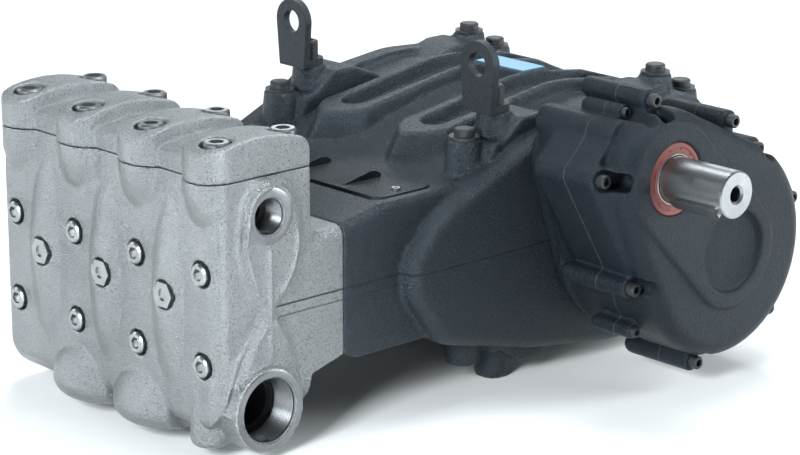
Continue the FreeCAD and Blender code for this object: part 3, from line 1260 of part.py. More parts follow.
def around_bound(root, circle, degrees):
    axis = ("Sizes.crank_setback", AXIS_Z) if root == gear_root else (SHAFT_Y, SHAFT_Z)
    return f"{axis[0]} + {circle} * cos({degrees} deg)", f"{axis[1]} + {circle} * sin({degrees} deg)"


neck = teardrop(s.neck_gear_radius, s.neck_pinion_radius, half_body, s.neck_end)
body_back = (s.neck_gear_radius + s.bead_radius, s.neck_pinion_radius + s.bead_radius)
body_seam = (s.gear_radius, s.pinion_radius)
body_front = (s.gear_radius, s.lip_radius)
housing = teardrop_loft(body_back, body_seam, s.neck_end, s.gear_seam)
shell_body = teardrop_loft(body_seam, body_front, s.gear_seam, s.lip_back)
lip = teardrop(s.gear_radius, s.lip_radius, s.lip_back, s.gear_face)
lip = lip.makeFillet(s.gear_round, edges_at(lip, lambda c: abs(c.x - s.gear_face) < 1e-3))
pad = teardrop(s.pad_gear_radius, s.pad_pinion_radius, s.lip_back, s.pad_face)
housing_parts = [neck]
shell_parts = [lip, pad]
for root, radius, circle, angle, slot, back in SCREWS:
    place = around(root, radius, angle)
    sizes = (s.gear_boss, s.gear_web)
    housing_parts.append(boss_with_web(back, s.gear_seam, place, root, *sizes, back=back))
    shell_parts.append(boss_with_web(s.gear_seam, s.gear_boss_end, place, root, *sizes))
for root, radius, circle, angle in SMALL_SCREWS:
    place = around(root, radius, angle)
    sizes = (s.small_boss, s.small_web)
    back = s.gear_boss_back + s.small_boss
    housing_parts.append(boss_with_web(back, s.gear_seam, place, root, *sizes, back=back))
    shell_parts.append(boss_with_web(s.gear_seam, s.small_boss_end, place, root, *sizes))
plug_place = around(pinion_root, s.plug_boss_circle, s.plug_boss_turn)
housing_parts.append(cylinder_x(s.plug_boss / 2, s.neck_end, s.gear_seam, *plug_place))
shell_parts.append(cylinder_x(s.plug_boss / 2, s.gear_seam, s.plug_boss_end, *plug_place))

# The cheek fairs the side screw and the plug boss into the body.
side_screw = around(pinion_root, pinion_circle, SCREWS[-1][3])
cheek_radius = s.gear_boss / 2 + s.cheek_margin
fairing_radius = cheek_radius - s.cheek_margin / 2
cheek_low = (side_screw[0] + s.cheek_run, side_screw[1])
cheek_high = (side_screw[0] + s.cheek_nose, side_screw[1])
cheek = Part.makeLoft([
    hull_wire(gear_root, s.neck_gear_radius, cheek_low, cheek_radius, s.neck_end),
    hull_wire(gear_root, s.neck_gear_radius, side_screw, cheek_radius, s.cheek_back),
    hull_wire(gear_root, s.gear_radius - s.cheek_inset, side_screw, cheek_radius, s.lip_back),
    hull_wire(gear_root, s.gear_radius - s.gear_round, cheek_high, cheek_radius, s.cheek_end),
], True, True)
fairing = Part.makeLoft([
    hull_wire(plug_place, fairing_radius, cheek_low, fairing_radius, s.neck_end),
    hull_wire(plug_place, fairing_radius, side_screw, fairing_radius, s.cheek_back),
    hull_wire(plug_place, fairing_radius, side_screw, fairing_radius, s.plug_boss_end),
], True, True)
for shape in (cheek, fairing):
    housing_parts.append(between(shape, s.neck_end, s.gear_seam))
    shell_parts.append(between(shape, s.gear_seam, s.gear_face))
bead_ring = Part.makeTorus(s.neck_gear_radius + s.bead_radius, s.bead_radius,
                           Vector(s.neck_end, crank_y, axis_z), Vector(1, 0, 0))
bead_zone = box_between((0, shaft_y - s.gear_radius, axis_z - s.neck_gear_radius),
                        (s.gear_seam, shaft_y / 2, axis_z))
housing_parts.append(bead_ring.common(bead_zone))
register("gear_housing", feature("gear_housing", housing.multiFuse(housing_parts)))

shell = shell_body.multiFuse(shell_parts)
pocket_half = s.gear_boss / 2 - s.slot_wall
for root, radius, circle, angle, slot, back in SCREWS:
    # Pocket beside each screw, cut inwards through the cover.
    pocket = box_between((s.gear_boss_end, -slot, -pocket_half), (s.slot_floor, 0, pocket_half))
    pocket = pocket.fuse(cylinder_x(pocket_half, s.gear_boss_end, s.slot_floor, -slot, 0))
    pocket = pocket.fuse(cylinder_x(s.gear_boss / 2 + 1, s.gear_boss_end, s.slot_floor, 0, 0))
    pocket.rotate(Vector(0, 0, 0), Vector(1, 0, 0), angle)
    pocket.translate(Vector(0, *around(root, radius, angle)))
    shell = shell.cut(pocket)
for root, radius, circle, angle in SMALL_SCREWS:
    spot = cylinder_x(s.small_boss / 2 + 1, s.small_boss_end, s.slot_floor, *around(root, radius, angle))
    shell = shell.cut(spot)
shell_casting = feature("gear_cover_casting", shell)

SEAL_FACE = "Sizes.pad_face - Sizes.seal_inset"
shell_tools = [
    hole("gear_cover_dish", ("Sizes.pad_face", "Sizes.crank_setback", AXIS_Z), TOWARDS_RIGHT,
         "Sizes.dish_radius", "Sizes.dish_depth"),
    hole("gear_cover_seal_seat", ("Sizes.pad_face", SHAFT_Y, SHAFT_Z), TOWARDS_RIGHT,
         "Sizes.seal_diameter / 2", "Sizes.seal_inset + Sizes.seal_depth"),
    hole("gear_cover_shaft_bore", ("Sizes.pad_face", SHAFT_Y, SHAFT_Z), TOWARDS_RIGHT,
         "Sizes.shaft_diameter / 2 + Sizes.shaft_fit", "Sizes.shaft_inside + Sizes.shaft_end_play"),
]
register("gear_cover", cut_from("gear_cover", shell_casting, shell_tools))

gear_screws = []
for i, (root, radius, circle, angle, slot, back) in enumerate(SCREWS):
    seat = ("Sizes.gear_boss_end", *around_bound(root, circle, angle))
    gear_screws.append(socket_screw(f"gear_screw_{i}", seat, TOWARDS_RIGHT,
                                    "Sizes.gear_screw_head", "Sizes.gear_screw_height"))
for i, (root, radius, circle, angle) in enumerate(SMALL_SCREWS):
    seat = ("Sizes.small_boss_end", *around_bound(root, circle, angle))
    gear_screws.append(socket_screw(f"gear_small_screw_{i}", seat, TOWARDS_RIGHT,
                                    "Sizes.small_screw_head", "Sizes.small_screw_height"))
together("gear_cover_screws", gear_screws)

seal_ring = primitive("Part::Cylinder", "seal_ring", (f"{SEAL_FACE} - Sizes.seal_depth", SHAFT_Y, SHAFT_Z),
                      TOWARDS_RIGHT[2], Radius="Sizes.seal_diameter / 2 - Sizes.seal_fit",
                      Height="Sizes.seal_depth")
seal_bore = hole("seal_bore", (SEAL_FACE, SHAFT_Y, SHAFT_Z), TOWARDS_RIGHT,
                 "Sizes.shaft_diameter / 2 + Sizes.fit_gap", "Sizes.seal_depth")
register("shaft_seal", cut_from("shaft_seal", seal_ring, [seal_bore]))

# Input shaft with its key.

SHAFT_TIP = ("Sizes.shaft_end", SHAFT_Y, SHAFT_Z)
SHAFT_LENGTH = "Sizes.shaft_end - Sizes.pad_face + Sizes.shaft_inside"
shaft_stem = hole("shaft_stem", moved(SHAFT_TIP, TOWARDS_RIGHT, "-Sizes.shaft_chamfer"), TOWARDS_RIGHT,
                  "Sizes.shaft_diameter / 2", f"{SHAFT_LENGTH} - Sizes.shaft_chamfer")
shaft_bevel = primitive("Part::Cone", "shaft_bevel", moved(SHAFT_TIP, TOWARDS_RIGHT, "-Sizes.shaft_chamfer"),
                        TOWARDS_RIGHT[2], Radius1="Sizes.shaft_diameter / 2",
                        Radius2="Sizes.shaft_diameter / 2 - Sizes.shaft_chamfer",
                        Height="Sizes.shaft_chamfer")
centre_hole = hole("shaft_centre_hole", SHAFT_TIP, TOWARDS_RIGHT,
                   "Sizes.centre_hole / 2", "Sizes.centre_hole_depth")
SINK = "(Sizes.centre_sink - Sizes.centre_hole) / 2"
centre_sink = primitive("Part::Cone", "shaft_centre_sink", moved(SHAFT_TIP, TOWARDS_RIGHT, f"-({SINK})"),
                        TOWARDS_RIGHT[2], Radius1="Sizes.centre_hole / 2", Radius2="Sizes.centre_sink / 2",
                        Height=SINK)
key = doc.addObject("PartDesign::Body", "shaft_key")
key_sketch = sketch_on(key, "XY_Plane", "key_outline")
key_half = s.key_width / 2
key_run = s.key_length - s.key_width
key_sketch.addGeometry(Part.LineSegment(Vector(0, -key_half, 0), Vector(key_run, -key_half, 0)), False)
key_sketch.addGeometry(Part.ArcOfCircle(Part.Circle(Vector(key_run, 0, 0), Vector(0, 0, 1), key_half),
                                        -math.pi / 2, math.pi / 2), False)
key_sketch.addGeometry(Part.LineSegment(Vector(key_run, key_half, 0), Vector(0, key_half, 0)), False)
key_sketch.addGeometry(Part.ArcOfCircle(Part.Circle(Vector(0, 0, 0), Vector(0, 0, 1), key_half),
                                        math.pi / 2, 3 * math.pi / 2), False)
key_sketch.addConstraint([
    Sketcher.Constraint("Tangent", 0, 2, 1, 1),
    Sketcher.Constraint("Tangent", 1, 2, 2, 1),
    Sketcher.Constraint("Tangent", 2, 2, 3, 1),
    Sketcher.Constraint("Tangent", 3, 2, 0, 1),
    Sketcher.Constraint("Horizontal", 0),
    Sketcher.Constraint("Coincident", 3, 3, -1, 1),
])
c = key_sketch.addConstraint(Sketcher.Constraint("Radius", 1, key_half))
key_sketch.setExpression(f"Constraints[{c}]", "Sizes.key_width / 2")
c = key_sketch.addConstraint(Sketcher.Constraint("DistanceX", 3, 3, 1, 3, key_run))
key_sketch.setExpression(f"Constraints[{c}]", "Sizes.key_length - Sizes.key_width")
pad_of(key, key_sketch, "key_bar", "Sizes.key_height")
KEY_LIFT = "(Sizes.shaft_diameter / 2 + Sizes.key_proud - Sizes.key_height)"
key.Placement = Placement(Vector(), Rotation(Vector(1, 0, 0), s.key_turn - 90))
key.setExpression("Placement.Base.x",
                  "Sizes.shaft_end - Sizes.key_inset - Sizes.key_length + Sizes.key_width / 2")
key.setExpression("Placement.Base.y", f"{SHAFT_Y} + {KEY_LIFT} * cos(Sizes.key_turn * 1 deg)")
key.setExpression("Placement.Base.z", f"{SHAFT_Z} + {KEY_LIFT} * sin(Sizes.key_turn * 1 deg)")
register("shaft_key", key)
register("input_shaft", cut_from("input_shaft", fused("shaft_solid", [shaft_stem, shaft_bevel]),
                                 [centre_hole, centre_sink, key]))

# Round bearing cover on the side away from the gearbox.

bearing = doc.addObject("PartDesign::Body", "bearing_cover")
disc = sketch_on(bearing, "YZ_Plane", "bearing_cover_outline")
bound_circle(disc, (None, 0), ("Sizes.bearing_cover / 2", s.bearing_cover / 2))
disc_pad = pad_of(bearing, disc, "bearing_cover_disc", "Sizes.bearing_cover_stand")
disc_pad.Reversed = True
doc.recompute()
rim = bearing.newObject("PartDesign::Fillet", "bearing_cover_rim")
outer = min(range(len(disc_pad.Shape.Edges)), key=lambda i: disc_pad.Shape.Edges[i].CenterOfMass.x
            if len(disc_pad.Shape.Edges[i].Vertexes) == 1 else 1e9)
rim.Base = (disc_pad, [f"Edge{outer + 1}"])
rim.setExpression("Radius", "Sizes.bearing_rim")
bearing.setExpression("Placement.Base.x", "-Sizes.body_width / 2")
bearing.setExpression("Placement.Base.y", "Sizes.crank_setback")
bearing.setExpression("Placement.Base.z", AXIS_Z)
register("bearing_cover", bearing)
bearing_screws = []
for i in range(8):
    angle = f"{22.5 + 45 * i} deg"
    seat = ("-Sizes.body_width / 2 - Sizes.bearing_cover_stand",
            f"Sizes.crank_setback + Sizes.bearing_screw_circle / 2 * cos({angle})",
            f"{AXIS_Z} + Sizes.bearing_screw_circle / 2 * sin({angle})")
    bearing_screws.append(socket_screw(f"bearing_screw_{i}", seat, TOWARDS_LEFT,
                                       "Sizes.bearing_screw_head", "Sizes.bearing_screw_height"))
together("bearing_cover_screws", bearing_screws)

doc.recompute()
for obj in doc.Objects:
    state = " ".join(obj.State)
    if "Invalid" in state or "Error" in state:
        raise RuntimeError(f"{obj.Label} failed: {state}")
for label, obj in pieces.items():
    shape = obj.Shape
    if shape.isNull() or not shape.isValid():
        raise RuntimeError(f"{label} has no valid shape")
for label, obj in pieces.items():
    print(label, "solids", len(obj.Shape.Solids), "volume", round(obj.Shape.Volume))
    obj.Shape.exportStep(f"parts/{label}.step")
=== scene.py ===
import json
import math

import bmesh
import bpy
from mathutils import Matrix, Vector
from mathutils.bvhtree import BVHTree


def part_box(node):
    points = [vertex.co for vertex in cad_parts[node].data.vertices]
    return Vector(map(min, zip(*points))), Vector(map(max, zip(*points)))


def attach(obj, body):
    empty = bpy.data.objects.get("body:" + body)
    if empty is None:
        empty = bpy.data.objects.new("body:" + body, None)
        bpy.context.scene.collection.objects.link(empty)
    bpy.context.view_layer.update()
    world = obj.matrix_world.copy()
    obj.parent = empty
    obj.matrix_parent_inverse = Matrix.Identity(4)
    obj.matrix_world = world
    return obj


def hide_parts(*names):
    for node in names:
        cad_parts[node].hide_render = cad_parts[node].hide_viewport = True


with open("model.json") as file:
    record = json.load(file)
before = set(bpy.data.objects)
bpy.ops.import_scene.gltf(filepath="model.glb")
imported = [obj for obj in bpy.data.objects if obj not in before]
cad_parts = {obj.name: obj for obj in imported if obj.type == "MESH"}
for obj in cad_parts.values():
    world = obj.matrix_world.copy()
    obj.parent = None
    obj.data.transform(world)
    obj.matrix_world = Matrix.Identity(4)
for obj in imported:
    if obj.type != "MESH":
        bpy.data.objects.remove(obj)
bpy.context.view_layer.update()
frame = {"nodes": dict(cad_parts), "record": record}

PUMP = "pump"
PER_METRE = 1000  # millimetres
ALONG_X = (1, 0, 0)
mounts = {m["name"]: m for m in frame["record"]["mounts"]}
slots = {item["node"]: item["material_slot"] for item in frame["record"]["subparts"]}

# Shader node helpers. A value may be a number, a colour or the output of another node.

NOISE_LOW = 0.3
NOISE_HIGH = 0.7
BULGE_LOW = 0.52
BULGE_HIGH = 0.60
LINE_CORE = 0.4  # share of a line's half width that has its full strength


def new_material(name):
    material = bpy.data.materials.new(name)
    material.use_nodes = True
    tree = material.node_tree
    tree.nodes.clear()
    output = tree.nodes.new("ShaderNodeOutputMaterial")
    shader = tree.nodes.new("ShaderNodeBsdfPrincipled")
    tree.links.new(shader.outputs["BSDF"], output.inputs["Surface"])
    return material, tree, shader


def feed(tree, target, source):
    if isinstance(source, bpy.types.NodeSocket):
        tree.links.new(source, target)
    else:
        target.default_value = source


def place_of(tree, stretch=(1, 1, 1)):
    coordinates = tree.nodes.new("ShaderNodeTexCoord")
    mapping = tree.nodes.new("ShaderNodeMapping")
    mapping.inputs["Scale"].default_value = stretch
    tree.links.new(coordinates.outputs["Object"], mapping.inputs["Vector"])
    return mapping.outputs["Vector"]


def noise(tree, place, scale, detail, roughness):
    node = tree.nodes.new("ShaderNodeTexNoise")
    node.inputs["Scale"].default_value = scale
    node.inputs["Detail"].default_value = detail
    node.inputs["Roughness"].default_value = roughness
    tree.links.new(place, node.inputs["Vector"])
    return node.outputs["Fac"]


def cells(tree, place, scale):
    node = tree.nodes.new("ShaderNodeTexVoronoi")
    node.inputs["Scale"].default_value = scale
    tree.links.new(place, node.inputs["Vector"])
    return node.outputs["Distance"]


def spread(tree, source, low, high, to_low, to_high):
    node = tree.nodes.new("ShaderNodeMapRange")
    node.inputs["From Min"].default_value = low
    node.inputs["From Max"].default_value = high
    node.inputs["To Min"].default_value = to_low
    node.inputs["To Max"].default_value = to_high
    tree.links.new(source, node.inputs["Value"])
    return node.outputs["Result"]


def contrast(tree, source, to_high):
    # The middle part of a noise, from nought to a given value.
    return spread(tree, source, NOISE_LOW, NOISE_HIGH, 0, to_high)


def maths(tree, operation, first, second=0.0):
    node = tree.nodes.new("ShaderNodeMath")
    node.operation = operation
    feed(tree, node.inputs[0], first)
    feed(tree, node.inputs[1], second)
    return node.outputs["Value"]


def blended(tree, share, first, second):
    node = tree.nodes.new("ShaderNodeMix")
    node.data_type = "RGBA"
    feed(tree, node.inputs["Factor"], share)
    for name, colour in (("A", first), ("B", second)):
        socket = [item for item in node.inputs if item.name == name and item.type == "RGBA"][0]
        feed(tree, socket, colour if isinstance(colour, bpy.types.NodeSocket) else (*colour, 1))
    return [item for item in node.outputs if item.type == "RGBA"][0]


def bump(tree, height, strength, distance, normal=None):
    node = tree.nodes.new("ShaderNodeBump")
    node.inputs["Strength"].default_value = strength
    node.inputs["Distance"].default_value = distance
    tree.links.new(height, node.inputs["Height"])
    if normal is not None:
        tree.links.new(normal, node.inputs["Normal"])
    return node.outputs["Normal"]


def bulges(tree):
    # Rises to one where the surface bulges sharply.
    geometry = tree.nodes.new("ShaderNodeNewGeometry")
    return spread(tree, geometry.outputs["Pointiness"], BULGE_LOW, BULGE_HIGH, 0, 1)


def parts_of_place(tree):
    coordinates = tree.nodes.new("ShaderNodeTexCoord")
    split = tree.nodes.new("ShaderNodeSeparateXYZ")
    tree.links.new(coordinates.outputs["Object"], split.inputs["Vector"])
    return split.outputs


def thin_line(tree, along, place, half_width, strength):
    # Rises to the strength on a thin line at a place along one axis, nought elsewhere.
    offset = maths(tree, "ABSOLUTE", maths(tree, "SUBTRACT", along, place))
    return spread(tree, offset, half_width * LINE_CORE, half_width, strength, 0)


def level_line(tree, height, half_width, y_low, y_high, strength):
    # A thin level line that shows only between two places along Y.
    parts = parts_of_place(tree)
    line = thin_line(tree, parts["Z"], height, half_width, strength)
    line = maths(tree, "MULTIPLY", line, maths(tree, "GREATER_THAN", parts["Y"], y_low))
    return maths(tree, "MULTIPLY", line, maths(tree, "LESS_THAN", parts["Y"], y_high))


# Materials. Scales are per metre, depths in metres, colours linear.

WHITE = (1, 1, 1)
BLUISH = (0.75, 0.9, 1.0)
PATCH_SCALE = 9
PATCH_SHARE = 0.3
SPECK_SHARE = 0.65
COARSE_SCALE = 0.35  # of the grain
PIT_SCALE = 0.9  # of the grain
SIDE_SHARE = 0.6  # height of pits and coarse grain next to that of the specks
GRAIN_STRENGTH = 0.9
WAVE_SCALE = 45
WAVE_STRENGTH = 0.2
WAVE_DEPTH = 0.004
HIGHLIGHT_GAIN = 1.6
HIGHLIGHT_LIFT = 0.04
LINE_SHADE = 0.2
LINE_STRENGTH = 0.8
LINE_DEPTH = 0.002
RIDGE_HALF_WIDTH = 0.0011
RIDGE_STRENGTH = 0.8
RIDGE_DEPTH = 0.0015


def cast_metal(name, dark, light, metallic, rough, grain, depth, lines=(), glints=0.5,
               gloss=0.5, gloss_tint=WHITE, ridge=None):
    # Sand-cast surface: a fine grain in height and colour, painted glints and wear on sharp
    # bulges, dark joint lines, and a painted highlight on a raised line across X at the ridge.
    material, tree, shader = new_material(name)
    place = place_of(tree)
    patches = noise(tree, place, PATCH_SCALE, detail=4, roughness=0.6)
    specks = noise(tree, place, grain, detail=5, roughness=0.75)
    coarse = noise(tree, place, grain * COARSE_SCALE, detail=3, roughness=0.6)
    pits = cells(tree, place, grain * PIT_SCALE)
    waves = noise(tree, place, WAVE_SCALE, detail=2, roughness=0.5)
    blotches = contrast(tree, patches, PATCH_SHARE)
    speckle = spread(tree, specks, 0.38, 0.62, 0.0, SPECK_SHARE)
    tint = blended(tree, maths(tree, "ADD", blotches, speckle), dark, light)
    # Painted glints and wear: sharply bulging spots take a lighter tint in flecks of the grain.
    glints_and_wear = maths(tree, "MULTIPLY", bulges(tree), spread(tree, specks, 0.42, 0.58, 0, glints))
    bright = tuple(min(1, c * HIGHLIGHT_GAIN + HIGHLIGHT_LIFT) for c in light)
    tint = blended(tree, glints_and_wear, tint, bright)
    height = maths(tree, "ADD", specks, maths(tree, "MULTIPLY", pits, SIDE_SHARE))
    height = maths(tree, "ADD", height, maths(tree, "MULTIPLY", coarse, SIDE_SHARE))
    normal = bump(tree, waves, WAVE_STRENGTH, WAVE_DEPTH)
    normal = bump(tree, height, GRAIN_STRENGTH, depth, normal)
    for line in lines:
        shade = level_line(tree, *line)
        tint = blended(tree, shade, tint, tuple(c * LINE_SHADE for c in dark))
        groove = maths(tree, "SUBTRACT", 1.0, shade)
        normal = bump(tree, groove, LINE_STRENGTH, LINE_DEPTH, normal)
    if ridge is not None:
        # Painted highlight: the raised line across X is tinted lighter, as where it catches the
        # light.
        shade = thin_line(tree, parts_of_place(tree)["X"], ridge, RIDGE_HALF_WIDTH,
                          RIDGE_STRENGTH)
        tint = blended(tree, shade, tint, bright)
        normal = bump(tree, shade, LINE_STRENGTH, RIDGE_DEPTH, normal)
    roughness = spread(tree, specks, 0.35, 0.65, rough - 0.1, rough + 0.12)
    tree.links.new(tint, shader.inputs["Base Color"])
    tree.links.new(normal, shader.inputs["Normal"])
    tree.links.new(roughness, shader.inputs["Roughness"])
    shader.inputs["Metallic"].default_value = metallic
    shader.inputs["Specular IOR Level"].default_value = gloss
    shader.inputs["Specular Tint"].default_value = (*gloss_tint, 1)
    return material


def machined(name, dark, light, rough, grain=900.0, stretch=(1, 1, 1), depth=0.0002):
    # Cut steel; the fine marks run along the axes where the stretch is small.
    material, tree, shader = new_material(name)
    fine = noise(tree, place_of(tree, stretch), grain, detail=3, roughness=0.6)
    broad = noise(tree, place_of(tree), 35, detail=3, roughness=0.6)
    share = maths(tree, "ADD", contrast(tree, fine, 0.5), contrast(tree, broad, 0.5))
    tree.links.new(blended(tree, share, dark, light), shader.inputs["Base Color"])
    tree.links.new(spread(tree, share, 0, 1, rough + 0.08, rough - 0.06),
                   shader.inputs["Roughness"])
    tree.links.new(bump(tree, fine, strength=0.3, distance=depth), shader.inputs["Normal"])
    shader.inputs["Metallic"].default_value = 1.0
    return material


def rubber(name, dark, light):
    material, tree, shader = new_material(name)
    place = place_of(tree)
    fine = noise(tree, place, 1500, detail=3, roughness=0.6)
    broad = noise(tree, place, 120, detail=3, roughness=0.6)
    share = maths(tree, "ADD", contrast(tree, fine, 0.4), contrast(tree, broad, 0.6))
    tree.links.new(blended(tree, share, dark, light), shader.inputs["Base Color"])
    tree.links.new(spread(tree, broad, NOISE_LOW, NOISE_HIGH, 0.5, 0.72),
                   shader.inputs["Roughness"])
    tree.links.new(bump(tree, fine, strength=0.4, distance=0.0003), shader.inputs["Normal"])
    return material


def plate_paint(name, dark, light):
    material, tree, shader = new_material(name)
    place = place_of(tree)
    broad = noise(tree, place, 40, detail=3, roughness=0.6)
    fine = noise(tree, place, 500, detail=2, roughness=0.5)
    tree.links.new(blended(tree, contrast(tree, broad, 1), dark, light),
                   shader.inputs["Base Color"])
    tree.links.new(spread(tree, broad, NOISE_LOW, NOISE_HIGH, 0.3, 0.42),
                   shader.inputs["Roughness"])
    tree.links.new(bump(tree, fine, strength=0.1, distance=0.0002), shader.inputs["Normal"])
    return material


# Joint lines: height, half width, where they start and end along Y, and strength.
SEAM_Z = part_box("crankcase_upper")[0][2]
COVER_JOINT_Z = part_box("valve_cover")[0][2]
HEAD_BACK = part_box("flange")[0][1]
SEAM_START = HEAD_BACK - 0.052
DRUM_FRONT = HEAD_BACK + 0.141
SECOND_SEAM_DROP = 0.0125
BEYOND = 1.0
seam = (SEAM_Z, 0.0014, SEAM_START, BEYOND, 0.9)
second_seam = (SEAM_Z - SECOND_SEAM_DROP, 0.0011, SEAM_START, DRUM_FRONT, 0.6)
cover_joint = (COVER_JOINT_Z, 0.0009, -BEYOND, BEYOND, 0.6)
GEAR_JOINT_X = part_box("gear_cover")[0][0] + 0.002

materials = {
    "head_casting": cast_metal(
        "head_casting", (0.18, 0.19, 0.196), (0.34, 0.356, 0.364), metallic=0.88, rough=0.33,
        grain=520, depth=0.0017, lines=(seam, second_seam, cover_joint), glints=0.9),
    "case_paint": cast_metal(
        "case_paint", (0.006, 0.008, 0.011), (0.014, 0.018, 0.024), metallic=0.0, rough=0.30,
        grain=500, depth=0.0017, lines=(seam, second_seam), glints=0.9, gloss=0.55,
        gloss_tint=BLUISH),
    "cover_paint": cast_metal(
        "cover_paint", (0.006, 0.008, 0.011), (0.014, 0.018, 0.024), metallic=0.0, rough=0.30,
        grain=620, depth=0.0012, glints=0.8, gloss=0.2, gloss_tint=BLUISH, ridge=GEAR_JOINT_X),
    "bright_screw": machined(
        "bright_screw", (0.25, 0.26, 0.265), (0.48, 0.49, 0.50), rough=0.30),
    "dark_screw": cast_metal(
        "dark_screw", (0.006, 0.007, 0.009), (0.018, 0.020, 0.024), metallic=0.2, rough=0.34,
        grain=1100, depth=0.0004),
    "dark_steel": cast_metal(
        "dark_steel", (0.005, 0.006, 0.008), (0.013, 0.015, 0.019), metallic=0.2, rough=0.34,
        grain=900, depth=0.0006, gloss=0.3, gloss_tint=BLUISH),
    "shaft_steel": machined(
        "shaft_steel", (0.26, 0.27, 0.28), (0.40, 0.41, 0.42), rough=0.30, grain=900,
        stretch=(1, 0.03, 0.03), depth=0.00005),
    "blue_plate": plate_paint("blue_plate", (0.07, 0.22, 0.35), (0.11, 0.30, 0.44)),
    "seal_rubber": rubber("seal_rubber", (0.13, 0.030, 0.026), (0.22, 0.058, 0.048)),
}
bore_steel = machined(
    "bore_steel", (0.11, 0.115, 0.12), (0.27, 0.28, 0.29), rough=0.30, grain=800)
# Painted shade: a dark cast surface for shaded thread flanks, port passages and seal dimples.
port_shade = cast_metal(
    "port_shade", (0.010, 0.011, 0.012), (0.045, 0.047, 0.050), metallic=0.3, rough=0.6,
    grain=700, depth=0.0010)

for name, obj in frame["nodes"].items():
    obj.data.materials.clear()
    obj.data.materials.append(materials[slots[name]])

# Soft skins of the castings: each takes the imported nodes' shape and rounds its edges.

WELD = 1e-6
SMOOTH_FACTOR = 0.5
SPAN_STEPS = 6
TIP_SIZE = 0.3
TIP_GROWTH = 0.25


def linked(name, mesh):
    obj = bpy.data.objects.new(name, mesh)
    bpy.context.scene.collection.objects.link(obj)
    return obj


def finished(obj, material):
    obj.data.materials.clear()
    obj.data.materials.append(material)
    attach(obj, PUMP)


def smooth_line(path):
    # Points of a smooth curve through all points of the path.
    line = []
    last = len(path) - 1
    for i in range(last):
        before, start = path[max(i - 1, 0)], path[i]
        end, after = path[i + 1], path[min(i + 2, last)]
        for step in range(SPAN_STEPS):
            t = step / SPAN_STEPS
            line.append(0.5 * (2 * start + (end - before) * t
                               + (2 * before - 5 * start + 4 * end - after) * t ** 2
                               + (3 * start - before - 3 * end + after) * t ** 3))
    line.append(path[-1])
    return line


def rib_tube(path, radius, sides=10):
    # Closed tube with tapered ends along a smooth line through the points.
    line = smooth_line(path)
    last = len(line) - 1
    tube = bmesh.new()
    rings = []
    for i, point in enumerate(line):
        along = (line[min(i + 1, last)] - line[max(i - 1, 0)]).normalized()
        across = along.cross(Vector(ALONG_X)).normalized()
        up = along.cross(across)
        size = radius * min(1, TIP_SIZE + TIP_GROWTH * min(i, last - i))
        rings.append([tube.verts.new(point + (across * math.cos(a) + up * math.sin(a)) * size)
                      for a in (2 * math.pi * k / sides for k in range(sides))])
    for first, second in zip(rings, rings[1:]):
        for k in range(sides):
            after = (k + 1) % sides
            tube.faces.new((first[k], first[after], second[after], second[k]))
    tube.faces.new(rings[0])
    tube.faces.new(rings[-1])
    bmesh.ops.recalc_face_normals(tube, faces=tube.faces)
    mesh = bpy.data.meshes.new("rib")
    tube.to_mesh(mesh)
    tube.free()
    return mesh


def cast_skin(name, nodes, voxel, rounds, share, extras=()):
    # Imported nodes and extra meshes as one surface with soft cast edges; rounds is the number of
    # smoothing rounds, and share the part of the faces that is kept.
    joined = bmesh.new()
    for node in nodes:
        joined.from_mesh(frame["nodes"][node].data)
    for extra in extras:
        joined.from_mesh(extra)
    bmesh.ops.remove_doubles(joined, verts=joined.verts, dist=WELD)
    mesh = bpy.data.meshes.new(name)
    joined.to_mesh(mesh)
    joined.free()
    rough = linked(name + "_rough", mesh)
    remesh = rough.modifiers.new("remesh", "REMESH")
    remesh.mode = "VOXEL"
    remesh.voxel_size = voxel
    smooth = rough.modifiers.new("smooth", "SMOOTH")
    smooth.factor = SMOOTH_FACTOR
    smooth.iterations = rounds
    thin = rough.modifiers.new("thin", "DECIMATE")
    thin.ratio = share
    bpy.context.view_layer.update()
    graph = bpy.context.evaluated_depsgraph_get()
    skin_mesh = bpy.data.meshes.new_from_object(rough.evaluated_get(graph))
    bpy.data.objects.remove(rough)
    skin_mesh.name = name
    skin_mesh.shade_smooth()
    skin = linked(name, skin_mesh)
    slot = slots[nodes[0]]
    finished(skin, materials[slot])
    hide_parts(*nodes)
    return skin


# Raised ribs on both sides of the fluid end: points as (Y, Z), radius, and height of the
# centre line over the surface, all in millimetres.
RIBS = [
    (((-519, 322), (-519, 310)), 2.2, 0.4),
    (((-519, 319), (-540, 315), (-554, 298), (-560, 271), (-561, 246), (-555, 219), (-543, 191),
      (-533, 168), (-537, 153), (-550, 138), (-566, 118), (-576, 95), (-583, 70)), 2.6, 0.4),
    (((-518, 312), (-534, 308), (-546, 294), (-552, 269), (-552, 244), (-545, 212), (-535, 184),
      (-527, 162), (-530, 149), (-544, 134), (-557, 116), (-567, 98), (-572, 80)), 2.2, 0.6),
    (((-520, 240), (-521, 212), (-521, 181), (-521, 160), (-521, 134), (-521, 112)), 1.9, 0.8),
    (((-510, 314), (-492, 299), (-482, 276), (-480, 245), (-487, 215), (-501, 192), (-514, 172),
      (-514, 156), (-498, 134), (-485, 110), (-480, 96)), 1.9, 0.2),
]
OUTSIDE_X = 0.3
solid_head = bmesh.new()
solid_head.from_mesh(frame["nodes"]["fluid_end"].data)
head_surface = BVHTree.FromBMesh(solid_head)
solid_head.free()
ribs = []
for side in (-1, 1):
    for places, radius, height in RIBS:
        points = []
        for y, z in places:
            outside = Vector((side * OUTSIDE_X, y / PER_METRE, z / PER_METRE))
            hit = head_surface.ray_cast(outside, Vector((-side, 0, 0)))[0]
            points.append(hit + Vector((side * height / PER_METRE, 0, 0)))
        ribs.append(rib_tube(points, radius / PER_METRE))

